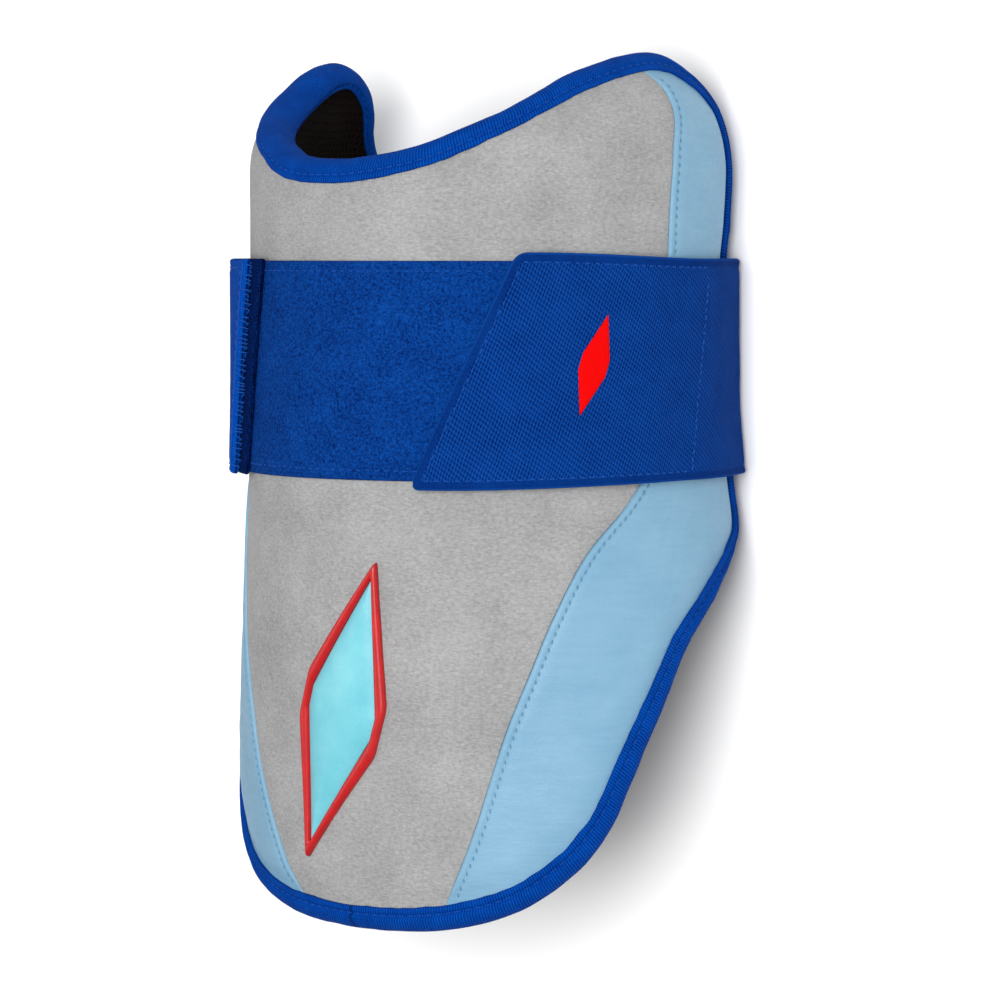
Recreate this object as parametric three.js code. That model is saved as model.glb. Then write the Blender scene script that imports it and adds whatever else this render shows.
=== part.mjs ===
// A batter's elbow guard: a padded half-tube shell with wings, bound at its rim and
// closed round the arm by one wide elastic strap. Millimetres, +Z up.
// It lies on its strap with the crown of the shell up: +Y runs along the arm to the
// upper-arm end, +X to the wing that the strap's tab comes round, and the origin is
// the middle of the strap's flat back run, on the surface that it lies on.
import * as THREE from 'three';

// Driving sizes of the shell
const GUARD_LENGTH = 213.6;
const SHELL_HALF_WIDTH = 61.5;
const CROWN_HEIGHT = 61.6;          // from the section's centre up to the ridge
const WING_ANGLE = 119;             // degrees from the ridge round to a wing's edge
const CURL_START = 80;              // degrees from the ridge, where a wing starts to draw in
const COVER_THICKNESS = 2;
const PAD_THICKNESS = 6.5;
const PAD_EDGE_THICKNESS = 4.2;
const EDGE_TUCK = 1.1;              // how far the covers dip towards the rim
const BINDING_THICKNESS = 1.2;
const BINDING_LEG = 4.6;
const LEG_MARGIN = 1;
const CLEARANCE = 0.3;
const EDGE_CLEARANCE = 0.7;
const SEAM_GAP = 0.5;
const RIM_RAMP = 7;                 // over which the wall grows to its full height

// Driving sizes of the strap
const STRAP_WIDTH = 53;
const TAB_WIDTH = 56;
const STRAP_THICKNESS = 1.8;
const STRAP_CENTRE = 135.8;         // from the shell's lower tip to the strap's middle
const STRAP_BEND = 4.5;             // inner radius where the strap turns under a wing
const STRAP_CORNER = 2.6;
const STRAP_LEAVE_ANGLE = 111;      // where it leaves the shell's side, degrees from the ridge
const LOOP_WIDTH = 52;
const LOOP_THICKNESS = 1.3;
const LOOP_END_ANGLE = 88;
const HOOK_THICKNESS = 1.2;
const HOOK_MARGIN = 2.5;            // how far the tab's hook patch stays inside the tab
const TAB_END_ANGLE = 33;           // middle of the tab's slanted end
const TAB_SLANT = 23;               // degrees that the tab's end runs round the shell
const FAR_END_ANGLE = -32;          // middle of the strap's other end
const FAR_SLANT = 11;
const FAR_HOOK_SHOW = 4.5;          // degrees that the hook patch shows beyond that end
const HOOK_END_ANGLE = 72;          // where the hook patches stop under the strap
const RAMP_ANGLE = 12;              // over which the strap comes down off a hook patch

// Driving sizes of the raised badge and of the strap's mark
const BADGE_LENGTH = 80;
const BADGE_WIDTH = 25;
const BADGE_BORDER = 2.2;
const BADGE_HEIGHT = 1.8;
const BADGE_BORDER_HEIGHT = 1.2;
const BADGE_CENTRE = 53.5;          // from the shell's lower tip
const BADGE_LEAN = 21;              // degrees
const MARK_LENGTH = 25;
const MARK_WIDTH = 6.6;
const MARK_HEIGHT = 0.5;
const MARK_ANGLE = 61;              // degrees from the ridge
const MARK_CENTRE = 137.3;          // from the shell's lower tip
const MARK_LEAN = 16;
// A badge's outline is six-sided. Its shoulders stand at this share of its length from the points.
const SHOULDER_SHARE = 0.42;
// An inset moves a point by the first of these and a shoulder by the second.
const POINT_INSET = 2.2;
const SHOULDER_INSET = 0.6;
const FACE_EDGE_SHARE = 0.6;        // of the border's height, at the edge of the badge's face

// The shell's sections, as shares: where along the length, of the half width and of the crown, and
// how far the wings' edges are drawn in.
const SECTIONS = [
  { along: -0.1, width: 1.163, crown: 0.86, curl: 0 },
  { along: 0, width: 1.16, crown: 0.875, curl: 0 },
  { along: 0.128, width: 1.155, crown: 0.9, curl: 0 },
  { along: 0.255, width: 1.114, crown: 0.942, curl: 0 },
  { along: 0.442, width: 1.024, crown: 0.99, curl: 0.005 },
  { along: 0.53, width: 1, crown: 0.998, curl: 0.03 },
  { along: 0.62, width: 0.99, crown: 1, curl: 0.045 },
  { along: 0.75, width: 0.988, crown: 1, curl: 0.045 },
  { along: 0.8, width: 0.989, crown: 1, curl: 0.03 },
  { along: 0.86, width: 0.99, crown: 0.998, curl: 0.02 },
  { along: 0.89, width: 0.98, crown: 0.988, curl: 0.02 },
  { along: 0.92, width: 0.955, crown: 0.96, curl: 0.02 },
  { along: 0.95, width: 0.912, crown: 0.916, curl: 0.02 },
  { along: 0.975, width: 0.87, crown: 0.875, curl: 0.02 },
  { along: 1, width: 0.825, crown: 0.832, curl: 0.02 },
  { along: 1.1, width: 0.63, crown: 0.65, curl: 0.02 },
];

// The bound rim's outline, from the lower tip round a wing to the dip at the upper end, as shares
// of the length and of the wing angle: on the +X side, and on the far side, whose lobe is narrower.
const RIM = [
  { along: 0, angle: 0, far: 0 },
  { along: 0.009, angle: 0.182, far: 0.182 },
  { along: 0.035, angle: 0.319, far: 0.319 },
  { along: 0.084, angle: 0.434, far: 0.434 },
  { along: 0.131, angle: 0.499, far: 0.499 },
  { along: 0.178, angle: 0.547, far: 0.547 },
  { along: 0.222, angle: 0.592, far: 0.592 },
  { along: 0.268, angle: 0.645, far: 0.645 },
  { along: 0.318, angle: 0.708, far: 0.708 },
  { along: 0.362, angle: 0.797, far: 0.797 },
  { along: 0.404, angle: 0.905, far: 0.894 },
  { along: 0.44, angle: 0.985, far: 0.966 },
  { along: 0.5, angle: 1, far: 1 },
  { along: 0.61, angle: 1, far: 1 },
  { along: 0.72, angle: 1, far: 0.983 },
  { along: 0.8, angle: 1, far: 0.937 },
  { along: 0.85, angle: 1, far: 0.908 },
  { along: 0.892, angle: 1, far: 0.88 },
  { along: 0.927, angle: 0.99, far: 0.855 },
  { along: 0.947, angle: 0.973, far: 0.841 },
  { along: 0.972, angle: 0.916, far: 0.807 },
  { along: 0.987, angle: 0.853, far: 0.765 },
  { along: 0.997, angle: 0.794, far: 0.714 },
  { along: 1, angle: 0.727, far: 0.664 },
  { along: 0.996, angle: 0.655, far: 0.605 },
  { along: 0.988, angle: 0.591, far: 0.559 },
  { along: 0.97, angle: 0.492, far: 0.49 },
  { along: 0.95, angle: 0.42, far: 0.42 },
  { along: 0.93, angle: 0.351, far: 0.347 },
  { along: 0.912, angle: 0.286, far: 0.269 },
  { along: 0.899, angle: 0.234, far: 0.214 },
  { along: 0.888, angle: 0.179, far: 0.171 },
  { along: 0.88, angle: 0.113, far: 0.13 },
  { along: 0.875, angle: 0.046, far: 0.071 },
  { along: 0.874, angle: 0, far: 0 },
];
// Places in RIM's list on either side: the corners of a wing and the ends of the seam.
const PLACES = {
  near: { lowCorner: 10.8, highCorner: 18.6, seamLow: 0.95, seamHigh: 24 },
  far: { lowCorner: 10.8, highCorner: 19.3, seamLow: 0.62, seamHigh: 23.4 },
};

// The seam between the front cover and a side cover, between its two ends on the rim: on the +X
// side, and on the far side.
const SEAM = [
  { along: 0.104, angle: 0.233, far: 0.199 },
  { along: 0.173, angle: 0.275, far: 0.25 },
  { along: 0.241, angle: 0.321, far: 0.287 },
  { along: 0.297, angle: 0.367, far: 0.322 },
  { along: 0.363, angle: 0.426, far: 0.357 },
  { along: 0.434, angle: 0.505, far: 0.4 },
  { along: 0.489, angle: 0.598, far: 0.44 },
  { along: 0.53, angle: 0.648, far: 0.5 },
  { along: 0.6, angle: 0.68, far: 0.59 },
  { along: 0.68, angle: 0.693, far: 0.65 },
  { along: 0.762, angle: 0.701, far: 0.69 },
  { along: 0.826, angle: 0.706, far: 0.706 },
  { along: 0.884, angle: 0.717, far: 0.717 },
  { along: 0.925, angle: 0.736, far: 0.736 },
  { along: 0.95, angle: 0.729, far: 0.735 },
  { along: 0.97, angle: 0.698, far: 0.71 },
];

// Colours and finishes
const MATERIALS = {
  grey: { color: 0xa9a9a8, roughness: 0.75, metalness: 0 },
  sky: { color: 0x8cbbdd, roughness: 0.5, metalness: 0 },
  royal: { color: 0x0b3f96, roughness: 0.8, metalness: 0 },
  hook: { color: 0x06285f, roughness: 0.95, metalness: 0 },
  mesh: { color: 0x1a1210, roughness: 0.9, metalness: 0 },
  red: { color: 0xc4161c, roughness: 0.5, metalness: 0 },
  cyan: { color: 0x7fd9e6, roughness: 0.4, metalness: 0 },
};

// How finely the wall is divided: rows stand at these distances from the rim, and evenly between.
const UNDER_LEG = BINDING_LEG + LEG_MARGIN;
const EDGE_ROWS = [0, UNDER_LEG, UNDER_LEG + RIM_RAMP];
const ROW_MIDDLE = 8;
const FRONT_COLUMNS = 20;
const SIDE_MIDDLE = 8;
const LENGTH_SAMPLES = 12;
const RIM_SAMPLES = 2000;
const RIM_STEPS = 120;
const STRAP_STEPS = 20;
const BEND_STEPS = 6;
const LOOP_STEPS = 36;
const TAB_PATCH_STEPS = 11;
const FAR_PATCH_STEPS = 10;
const BADGE_PARTS = { border: 6, face: 5, mark: 3 };
const BADGE_RINGS = { face: 3, mark: 2 };
const SLOPE_STEP = 1e-3;
const PLACE_STEP = 0.25;

const radians = THREE.MathUtils.degToRad;
const WING = radians(WING_ANGLE);
const CENTRE_HEIGHT = STRAP_THICKNESS + 2 * CLEARANCE - CROWN_HEIGHT * Math.cos(WING);
const LOOP_LIFT = CLEARANCE;
const BAND_LIFT = LOOP_LIFT + LOOP_THICKNESS + CLEARANCE;
const HOOK_LIFT = BAND_LIFT;
const TAB_LIFT = HOOK_LIFT + HOOK_THICKNESS + CLEARANCE;
const WING_LIFT = BINDING_THICKNESS + 2 * CLEARANCE - EDGE_TUCK + CLEARANCE;

// Reads a column of a table at a place, with smooth joins that never overshoot.
function readTable(table, column, at) {
  const last = table.length - 1;
  const slope = (i) => (table[i + 1][column] - table[i][column]) / (table[i + 1].along - table[i].along);
  const tangent = (i) => {
    if (i === 0) return slope(0);
    if (i === last) return slope(last - 1);
    const before = slope(i - 1);
    const after = slope(i);
    return before * after <= 0 ? 0 : (2 * before * after) / (before + after);
  };
  let row = 0;
  while (row < last - 1 && at > table[row + 1].along) row += 1;
  const span = table[row + 1].along - table[row].along;
  const x = (at - table[row].along) / span;
  if (x < 0) return table[0][column] + (at - table[0].along) * tangent(0);
  if (x > 1) return table[last][column] + (at - table[last].along) * tangent(last);
  const rise = table[row + 1][column] - table[row][column];
  const a = tangent(row) * span - rise;
  const b = rise - tangent(row + 1) * span;
  return table[row][column] + x * rise + x * (1 - x) * ((1 - x) * a + x * b);
}

// A point of the shell's outer surface. angle is from the ridge in radians, along is from the tip.
function basePoint(angle, along) {
  const share = along / GUARD_LENGTH;
  const drawn = THREE.MathUtils.smoothstep(Math.abs(angle), radians(CURL_START), WING);
  const size = 1 - readTable(SECTIONS, 'curl', share) * drawn;
  const width = SHELL_HALF_WIDTH * readTable(SECTIONS, 'width', share) * size;
  const crown = CROWN_HEIGHT * readTable(SECTIONS, 'crown', share) * size;
  return new THREE.Vector3(
    width * Math.sin(angle),
    along - STRAP_CENTRE,
    CENTRE_HEIGHT + crown * Math.cos(angle),
  );
}

function slopes(angle, along) {
  const step = SLOPE_STEP;
  const around = basePoint(angle + step, along).sub(basePoint(angle - step, along)).divideScalar(2 * step);
  const length = basePoint(angle, along + step).sub(basePoint(angle, along - step)).divideScalar(2 * step);
  return { around, length, normal: new THREE.Vector3().crossVectors(around, length).normalize() };
}

function surfacePoint(angle, along, lift) {
  return basePoint(angle, along).addScaledVector(slopes(angle, along).normal, lift);
}

// The rim of the wall as a closed curve in the plane of (angle, along), with the angle scaled to
// millimetres: the bound outline moved in by what the binding takes.
const ANGLE_SCALE = SHELL_HALF_WIDTH;
const BOUND_EDGE = EDGE_CLEARANCE + BINDING_THICKNESS;
const rimPoint = (share, along) => new THREE.Vector3(share * WING * ANGLE_SCALE, along * GUARD_LENGTH, 0);
const nearRim = RIM.map((row) => rimPoint(row.angle, row.along));
const farRim = RIM.slice(1, -1).reverse().map((row) => rimPoint(-row.far, row.along));
const outline = new THREE.CatmullRomCurve3([...nearRim, ...farRim], true, 'centripetal');
const RIM_COUNT = outline.points.length;
const rimCurve = new THREE.CatmullRomCurve3(
  outline.points.map((p, i) => {
    const along = outline.getTangent(i / RIM_COUNT);
    return new THREE.Vector3(-along.y, along.x, 0).multiplyScalar(BOUND_EDGE).add(p);
  }),
  true,
  'centripetal',
);
rimCurve.arcLengthDivisions = RIM_SAMPLES;
const rimLengths = rimCurve.getLengths(RIM_SAMPLES);

// The share of the rim's length at a place. Places count RIM's rows from the tip on the +X side,
// and are negative on the -X side.
function rimShare(place) {
  const turns = Math.floor(place / RIM_COUNT);
  const at = (place / RIM_COUNT - turns) * RIM_SAMPLES;
  const before = Math.floor(at);
  const length = THREE.MathUtils.lerp(rimLengths[before], rimLengths[before + 1] ?? 0, at - before);
  return turns + length / rimLengths[RIM_SAMPLES];
}

function rimAt(share) {
  const p = rimCurve.getPointAt(share - Math.floor(share));
  return { angle: p.x / ANGLE_SCALE, along: p.y };
}

function rimBetween(from, to) {
  const [start, end] = [rimShare(from), rimShare(to)];
  return (share) => rimAt(start + (end - start) * share);
}

const rimLine = Array.from({ length: 2 * RIM_STEPS }, (_, i) => {
  const p = rimAt(i / (2 * RIM_STEPS));
  return basePoint(p.angle, p.along);
});

function rimDistance(angle, along) {
  const p = basePoint(angle, along);
  const nearest = new THREE.Vector3();
  let best = Infinity;
  for (let i = 0; i < rimLine.length; i += 1) {
    const piece = new THREE.Line3(rimLine[i], rimLine[(i + 1) % rimLine.length]);
    piece.closestPointToPoint(p, true, nearest);
    best = Math.min(best, nearest.distanceTo(p));
  }
  return best;
}

// The wall's lifts at a distance from the rim: thinner and lower under the binding's legs.
const growth = (distance) => THREE.MathUtils.clamp((distance - UNDER_LEG) / RIM_RAMP, 0, 1);
const tuckAt = (distance) => EDGE_TUCK * (1 - growth(distance));
const padAt = (distance) => THREE.MathUtils.lerp(PAD_EDGE_THICKNESS, PAD_THICKNESS, growth(distance));
const coverOuter = (distance) => -tuckAt(distance);
const coverInner = (distance) => -tuckAt(distance) - COVER_THICKNESS;
const padOuter = (distance) => coverInner(distance) - CLEARANCE;
const padInner = (distance) => padOuter(distance) - padAt(distance);
const WALL_AT_RIM = COVER_THICKNESS + CLEARANCE + PAD_EDGE_THICKNESS;

// Makes a closed body of two grids of points, one over the other, joined round their edges.
// upper[i][j] and lower[i][j] have the same size, and upper faces away from lower.
function slab(upper, lower) {
  const rows = upper.length;
  const columns = upper[0].length;
  const positions = [];
  const index = [];
  [upper, lower].forEach((grid) => grid.forEach((row) => row.forEach((p) => positions.push(p.x, p.y, p.z))));
  const top = (i, j) => i * columns + j;
  const under = (i, j) => rows * columns + i * columns + j;
  const quad = (a, b, c, d) => index.push(a, b, c, a, c, d);
  for (let i = 0; i < rows - 1; i += 1) {
    for (let j = 0; j < columns - 1; j += 1) {
      quad(top(i, j), top(i, j + 1), top(i + 1, j + 1), top(i + 1, j));
      quad(under(i, j), under(i + 1, j), under(i + 1, j + 1), under(i, j + 1));
    }
  }
  for (let i = 0; i < rows - 1; i += 1) {
    quad(top(i, 0), top(i + 1, 0), under(i + 1, 0), under(i, 0));
    quad(top(i, columns - 1), under(i, columns - 1), under(i + 1, columns - 1), top(i + 1, columns - 1));
  }
  for (let j = 0; j < columns - 1; j += 1) {
    quad(top(0, j), under(0, j), under(0, j + 1), top(0, j + 1));
    quad(top(rows - 1, j), top(rows - 1, j + 1), under(rows - 1, j + 1), under(rows - 1, j));
  }
  return bodyFrom(positions, index);
}

function bodyFrom(positions, index) {
  const geometry = new THREE.BufferGeometry();
  geometry.setAttribute('position', new THREE.Float32BufferAttribute(positions, 3));
  geometry.setIndex(index);
  geometry.computeVertexNormals();
  return geometry;
}

function named(name, geometry, finish) {
  const mesh = new THREE.Mesh(geometry, new THREE.MeshStandardMaterial(MATERIALS[finish]));
  mesh.name = name;
  return mesh;
}

// Fills the plane between four sides. Each side is a function from 0 to 1 to {angle, along};
// low and high run from left to right, left and right run from low to high.
function fillBetween(low, high, left, right) {
  const mix = (share, a, b) => a + (b - a) * share;
  return (u, v) => {
    const value = (key) => {
      const ruled = mix(v, low(u)[key], high(u)[key]) + mix(u, left(v)[key], right(v)[key]);
      const corners = mix(v, mix(u, low(0)[key], low(1)[key]), mix(u, high(0)[key], high(1)[key]));
      return ruled - corners;
    };
    return { angle: value('angle'), along: value('along') };
  };
}

function lineLength(line) {
  let length = 0;
  for (let i = 0; i < LENGTH_SAMPLES; i += 1) {
    const from = line(i / LENGTH_SAMPLES);
    const to = line((i + 1) / LENGTH_SAMPLES);
    length += basePoint(from.angle, from.along).distanceTo(basePoint(to.angle, to.along));
  }
  return length;
}

// Shares of a line at which a grid's rows stand: close together at the rim, even elsewhere.
function shares(length, middle, rimAtStart, rimAtEnd) {
  const near = EDGE_ROWS.map((distance) => distance / length);
  const start = rimAtStart ? near : [0];
  const end = rimAtEnd ? near.map((share) => 1 - share).reverse() : [1];
  const [from, to] = [start[start.length - 1], end[0]];
  const between = Array.from({ length: middle }, (_, i) => from + ((to - from) * (i + 1)) / (middle + 1));
  return [...start, ...between, ...end];
}

// A grid of places over a filled plane, in rows that run along X.
function gridOver(fill, columnMiddle, rimOnRight) {
  const columnCount = 1 + columnMiddle + (rimOnRight ? EDGE_ROWS.length : 1);
  const rowCount = ROW_MIDDLE + 2 * EDGE_ROWS.length;
  const columnShares = Array.from({ length: rowCount }, (_, i) => {
    const v = i / (rowCount - 1);
    return shares(lineLength((u) => fill(u, v)), columnMiddle, false, rimOnRight);
  });
  const rowShares = Array.from({ length: columnCount }, (_, j) => {
    const u = j / (columnCount - 1);
    return shares(lineLength((v) => fill(u, v)), ROW_MIDDLE, true, true);
  });
  return columnShares.map((row, i) => row.map((u, j) => fill(u, rowShares[j][i])));
}

// A layer of the wall over a grid, between two lifts that depend on the distance to the rim.
function layer(grid, outer, inner) {
  const lifted = (lift) => grid.map((row) => row.map((p) => {
    const distance = rimDistance(p.angle, p.along);
    return surfacePoint(p.angle, p.along, lift(distance));
  }));
  return slab(lifted(outer), lifted(inner));
}

// Where a seam that is moved outwards by a shift meets the rim. side is 1 for +X and -1 for far.
function seamEnds(side, shift) {
  const { seamLow, seamHigh } = side > 0 ? PLACES.near : PLACES.far;
  const around = (place) => rimBetween(side * (place - PLACE_STEP), side * (place + PLACE_STEP));
  const perPlace = (place) => lineLength(around(place)) / (2 * PLACE_STEP);
  return {
    low: side * (seamLow + shift / perPlace(seamLow)),
    high: side * (seamHigh - shift / perPlace(seamHigh)),
  };
}

function seamCurve(side, shift) {
  const ends = seamEnds(side, shift);
  const low = rimAt(rimShare(ends.low));
  const high = rimAt(rimShare(ends.high));
  const middle = SEAM.map((row) => ({
    angle: side * ((side > 0 ? row.angle : row.far) * WING + shift / SHELL_HALF_WIDTH),
    along: row.along * GUARD_LENGTH,
  }));
  const points = [low, ...middle, high].map((p) => new THREE.Vector3(p.angle * ANGLE_SCALE, p.along, 0));
  const curve = new THREE.CatmullRomCurve3(points, false, 'centripetal');
  return (share) => {
    const p = curve.getPointAt(share);
    return { angle: p.x / ANGLE_SCALE, along: p.y };
  };
}

function frontGrid(shift) {
  const near = seamEnds(1, shift);
  const far = seamEnds(-1, shift);
  const fill = fillBetween(
    rimBetween(far.low, near.low),
    rimBetween(far.high + RIM_COUNT, near.high),
    seamCurve(-1, shift),
    seamCurve(1, shift),
  );
  return gridOver(fill, FRONT_COLUMNS - 1, false);
}

function sideGrid(side, shift) {
  const { low, high } = seamEnds(side, shift);
  const { lowCorner, highCorner } = side > 0 ? PLACES.near : PLACES.far;
  const fill = fillBetween(
    rimBetween(low, side * lowCorner),
    rimBetween(high, side * highCorner),
    seamCurve(side, shift),
    rimBetween(side * lowCorner, side * highCorner),
  );
  const grid = gridOver(fill, SIDE_MIDDLE, true);
  return side > 0 ? grid : grid.map((row) => row.reverse());
}

const cover = (grid) => layer(grid, coverOuter, coverInner);
const frontPanel = () => named('front_panel', cover(frontGrid(-SEAM_GAP / 2)), 'grey');
const sidePanel = (name, side) => named(name, cover(sideGrid(side, SEAM_GAP / 2)), 'sky');

function linerPad() {
  const near = sideGrid(1, 0);
  const far = sideGrid(-1, 0);
  const grid = frontGrid(0).map((row, i) => [...far[i], ...row.slice(1), ...near[i].slice(1)]);
  return named('liner_pad', layer(grid, padOuter, padInner), 'mesh');
}

// The binding's section at the rim: out is away from the shell in its own surface, lift is along
// its normal. The inner side follows the wall's edge, the outer side is one thickness away. The
// roll starts and has its shoulder at these shares of the bound edge.
const ROLL_START = -0.2;
const ROLL_SHOULDER = 0.75;

function bindingSection() {
  const top = -EDGE_TUCK + CLEARANCE;
  const bottom = -EDGE_TUCK - WALL_AT_RIM - EDGE_CLEARANCE;
  return [
    { out: -BINDING_LEG, lift: top },
    { out: -BINDING_LEG, lift: top + BINDING_THICKNESS },
    { out: ROLL_START * BOUND_EDGE, lift: top + BINDING_THICKNESS },
    { out: ROLL_SHOULDER * BOUND_EDGE, lift: top },
    { out: BOUND_EDGE, lift: top - BINDING_THICKNESS },
    { out: BOUND_EDGE, lift: bottom + BINDING_THICKNESS },
    { out: ROLL_SHOULDER * BOUND_EDGE, lift: bottom },
    { out: ROLL_START * BOUND_EDGE, lift: bottom - BINDING_THICKNESS },
    { out: -BINDING_LEG, lift: bottom - BINDING_THICKNESS },
    { out: -BINDING_LEG, lift: bottom },
    { out: EDGE_CLEARANCE, lift: bottom },
    { out: EDGE_CLEARANCE, lift: top },
  ];
}

function rimBinding() {
  const section = bindingSection();
  const positions = [];
  const index = [];
  for (let i = 0; i < RIM_STEPS; i += 1) {
    const share = i / RIM_STEPS;
    const at = rimCurve.getPointAt(share);
    const along = rimCurve.getTangentAt(share);
    const angle = at.x / ANGLE_SCALE;
    const { around, length, normal } = slopes(angle, at.y);
    const forward = around.clone().multiplyScalar(along.x / ANGLE_SCALE).addScaledVector(length, along.y);
    const outward = new THREE.Vector3().crossVectors(forward, normal).normalize();
    const angleStep = outward.dot(around) / around.lengthSq();
    const alongStep = outward.dot(length) / length.lengthSq();
    section.forEach((s) => {
      const p = surfacePoint(angle + angleStep * s.out, at.y + alongStep * s.out, s.lift);
      positions.push(p.x, p.y, p.z);
    });
  }
  const count = section.length;
  for (let i = 0; i < RIM_STEPS; i += 1) {
    const here = i * count;
    const next = ((i + 1) % RIM_STEPS) * count;
    for (let k = 0; k < count; k += 1) {
      const l = (k + 1) % count;
      index.push(here + k, here + l, next + l, here + k, next + l, next + k);
    }
  }
  return named('rim_binding', bodyFrom(positions, index), 'royal');
}

// The strap's and patches' rows across their width: 0 at the lower edge and 1 at the upper.
const STRAP_ACROSS = [0, 0.015, 0.06, 0.35, 0.65, 0.94, 0.985, 1];
const PATCH_ACROSS = [0, 0.2, 0.4, 0.6, 0.8, 1];

// How far a rounded corner draws an end back, in degrees round the shell.
function cornerDraw(across, width) {
  const edge = Math.min(across, 1 - across) * width;
  if (edge >= STRAP_CORNER) return 0;
  const draw = STRAP_CORNER - Math.sqrt(STRAP_CORNER ** 2 - (STRAP_CORNER - edge) ** 2);
  return THREE.MathUtils.radToDeg(draw / SHELL_HALF_WIDTH);
}

const tabEnd = (across) => TAB_END_ANGLE + TAB_SLANT * (across - 0.5);
const farEnd = (across) => FAR_END_ANGLE + FAR_SLANT * (across - 0.5);

// A strip that lies on the shell between two ends, each a function of the place across.
function strip(width, start, end, steps, lift, thickness) {
  const lifted = (level) => PATCH_ACROSS.map((across) => {
    const along = STRAP_CENTRE + (across - 0.5) * width;
    return Array.from({ length: steps + 1 }, (_, i) => {
      const angle = radians(THREE.MathUtils.lerp(start(across), end(across), i / steps));
      return surfacePoint(angle, along, level);
    });
  });
  return slab(lifted(lift + thickness), lifted(lift));
}

function loopBand() {
  const ends = [() => -LOOP_END_ANGLE, () => LOOP_END_ANGLE];
  return named('loop_band', strip(LOOP_WIDTH, ...ends, LOOP_STEPS, LOOP_LIFT, LOOP_THICKNESS), 'royal');
}

function hookPatchTab() {
  const inset = THREE.MathUtils.radToDeg(HOOK_MARGIN / SHELL_HALF_WIDTH);
  const ends = [(across) => tabEnd(across) + inset, () => HOOK_END_ANGLE];
  const width = STRAP_WIDTH - 2 * HOOK_MARGIN;
  return named('hook_patch_tab', strip(width, ...ends, TAB_PATCH_STEPS, HOOK_LIFT, HOOK_THICKNESS), 'hook');
}

function hookPatchFar() {
  const ends = [() => -HOOK_END_ANGLE, (across) => farEnd(across) + FAR_HOOK_SHOW];
  const patch = strip(STRAP_WIDTH, ...ends, FAR_PATCH_STEPS, HOOK_LIFT, HOOK_THICKNESS);
  return named('hook_patch_far', patch, 'hook');
}

// How high the strap's inner face runs over the shell, by the angle from the ridge: over a hook
// patch, then over the loop band alone, then down to the bound edge.
function strapLift(degrees) {
  const { lerp, smoothstep } = THREE.MathUtils;
  const offHook = lerp(TAB_LIFT, BAND_LIFT, smoothstep(degrees, HOOK_END_ANGLE, HOOK_END_ANGLE + RAMP_ANGLE));
  return lerp(offHook, WING_LIFT, smoothstep(degrees, LOOP_END_ANGLE, STRAP_LEAVE_ANGLE));
}

// The strap's course on one side at one place along the arm, from its end over the shell down
// to the flat back run: points of the inner face, each with the way out to the outer face.
function strapSide(side, endDegrees, along) {
  const course = [];
  for (let i = 0; i <= STRAP_STEPS; i += 1) {
    const degrees = THREE.MathUtils.lerp(endDegrees, STRAP_LEAVE_ANGLE, i / STRAP_STEPS);
    const angle = side * radians(degrees);
    const point = surfacePoint(angle, along, strapLift(degrees));
    const out = slopes(angle, along).normal.clone().setY(0).normalize();
    course.push({ point, out });
  }
  const leave = course[course.length - 1];
  const down = new THREE.Vector3(side * leave.out.z, 0, -Math.abs(leave.out.x));
  const reach = (leave.point.z - STRAP_THICKNESS) / -down.z;
  const turn = Math.acos(-side * down.x);
  const tangent = STRAP_BEND * Math.tan(turn / 2);
  const startTurn = leave.point.clone().addScaledVector(down, reach - tangent);
  const hub = startTurn.clone().addScaledVector(leave.out, -STRAP_BEND);
  for (let i = 0; i <= BEND_STEPS; i += 1) {
    const out = leave.out.clone().applyAxisAngle(new THREE.Vector3(0, side, 0), (turn * i) / BEND_STEPS);
    course.push({ point: hub.clone().addScaledVector(out, STRAP_BEND), out });
  }
  return course;
}

// The tab is wider than the strap. It widens between these shares of the strap's run to its end.
const WIDEN_FROM = 0.35;
const WIDEN_TO = 0.9;

function strap() {
  const rows = STRAP_ACROSS.map((across) => {
    const bandAlong = STRAP_CENTRE + (across - 0.5) * STRAP_WIDTH;
    const tabY = (across - 0.5) * TAB_WIDTH;
    const tabStart = tabEnd(across) + cornerDraw(across, TAB_WIDTH);
    const tabSide = strapSide(1, tabStart, bandAlong);
    const farSide = strapSide(-1, -farEnd(across), bandAlong);
    [...tabSide, ...farSide].forEach((place) => place.point.setY(bandAlong - STRAP_CENTRE));
    tabSide.forEach((place, i) => {
      const share = THREE.MathUtils.smoothstep(1 - i / (tabSide.length - 1), WIDEN_FROM, WIDEN_TO);
      place.point.setY(THREE.MathUtils.lerp(place.point.y, tabY, share));
    });
    return [...tabSide, ...farSide.reverse()];
  });
  const outer = rows.map((row) => row.map((p) => p.point.clone().addScaledVector(p.out, STRAP_THICKNESS)));
  const inner = rows.map((row) => row.map((p) => p.point));
  return named('strap', slab(outer, inner), 'royal');
}

// A long six-sided outline with pointed ends, leaning, round a centre on the shell.
function sixSided(length, width, lean, inset) {
  const half = length / 2 - inset * POINT_INSET;
  const side = width / 2 - inset;
  const shoulder = length * SHOULDER_SHARE - inset * SHOULDER_INSET;
  const corners = [
    [0, half], [side, half - shoulder], [side, shoulder - half],
    [0, -half], [-side, shoulder - half], [-side, half - shoulder],
  ];
  const tilt = radians(lean);
  return corners.map(([x, y]) => ({
    x: x * Math.cos(tilt) + y * Math.sin(tilt),
    y: y * Math.cos(tilt) - x * Math.sin(tilt),
  }));
}

function divided(corners, parts) {
  return corners.flatMap((from, i) => {
    const to = corners[(i + 1) % corners.length];
    return Array.from({ length: parts }, (_, k) => ({
      x: from.x + ((to.x - from.x) * k) / parts,
      y: from.y + ((to.y - from.y) * k) / parts,
    }));
  });
}

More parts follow.
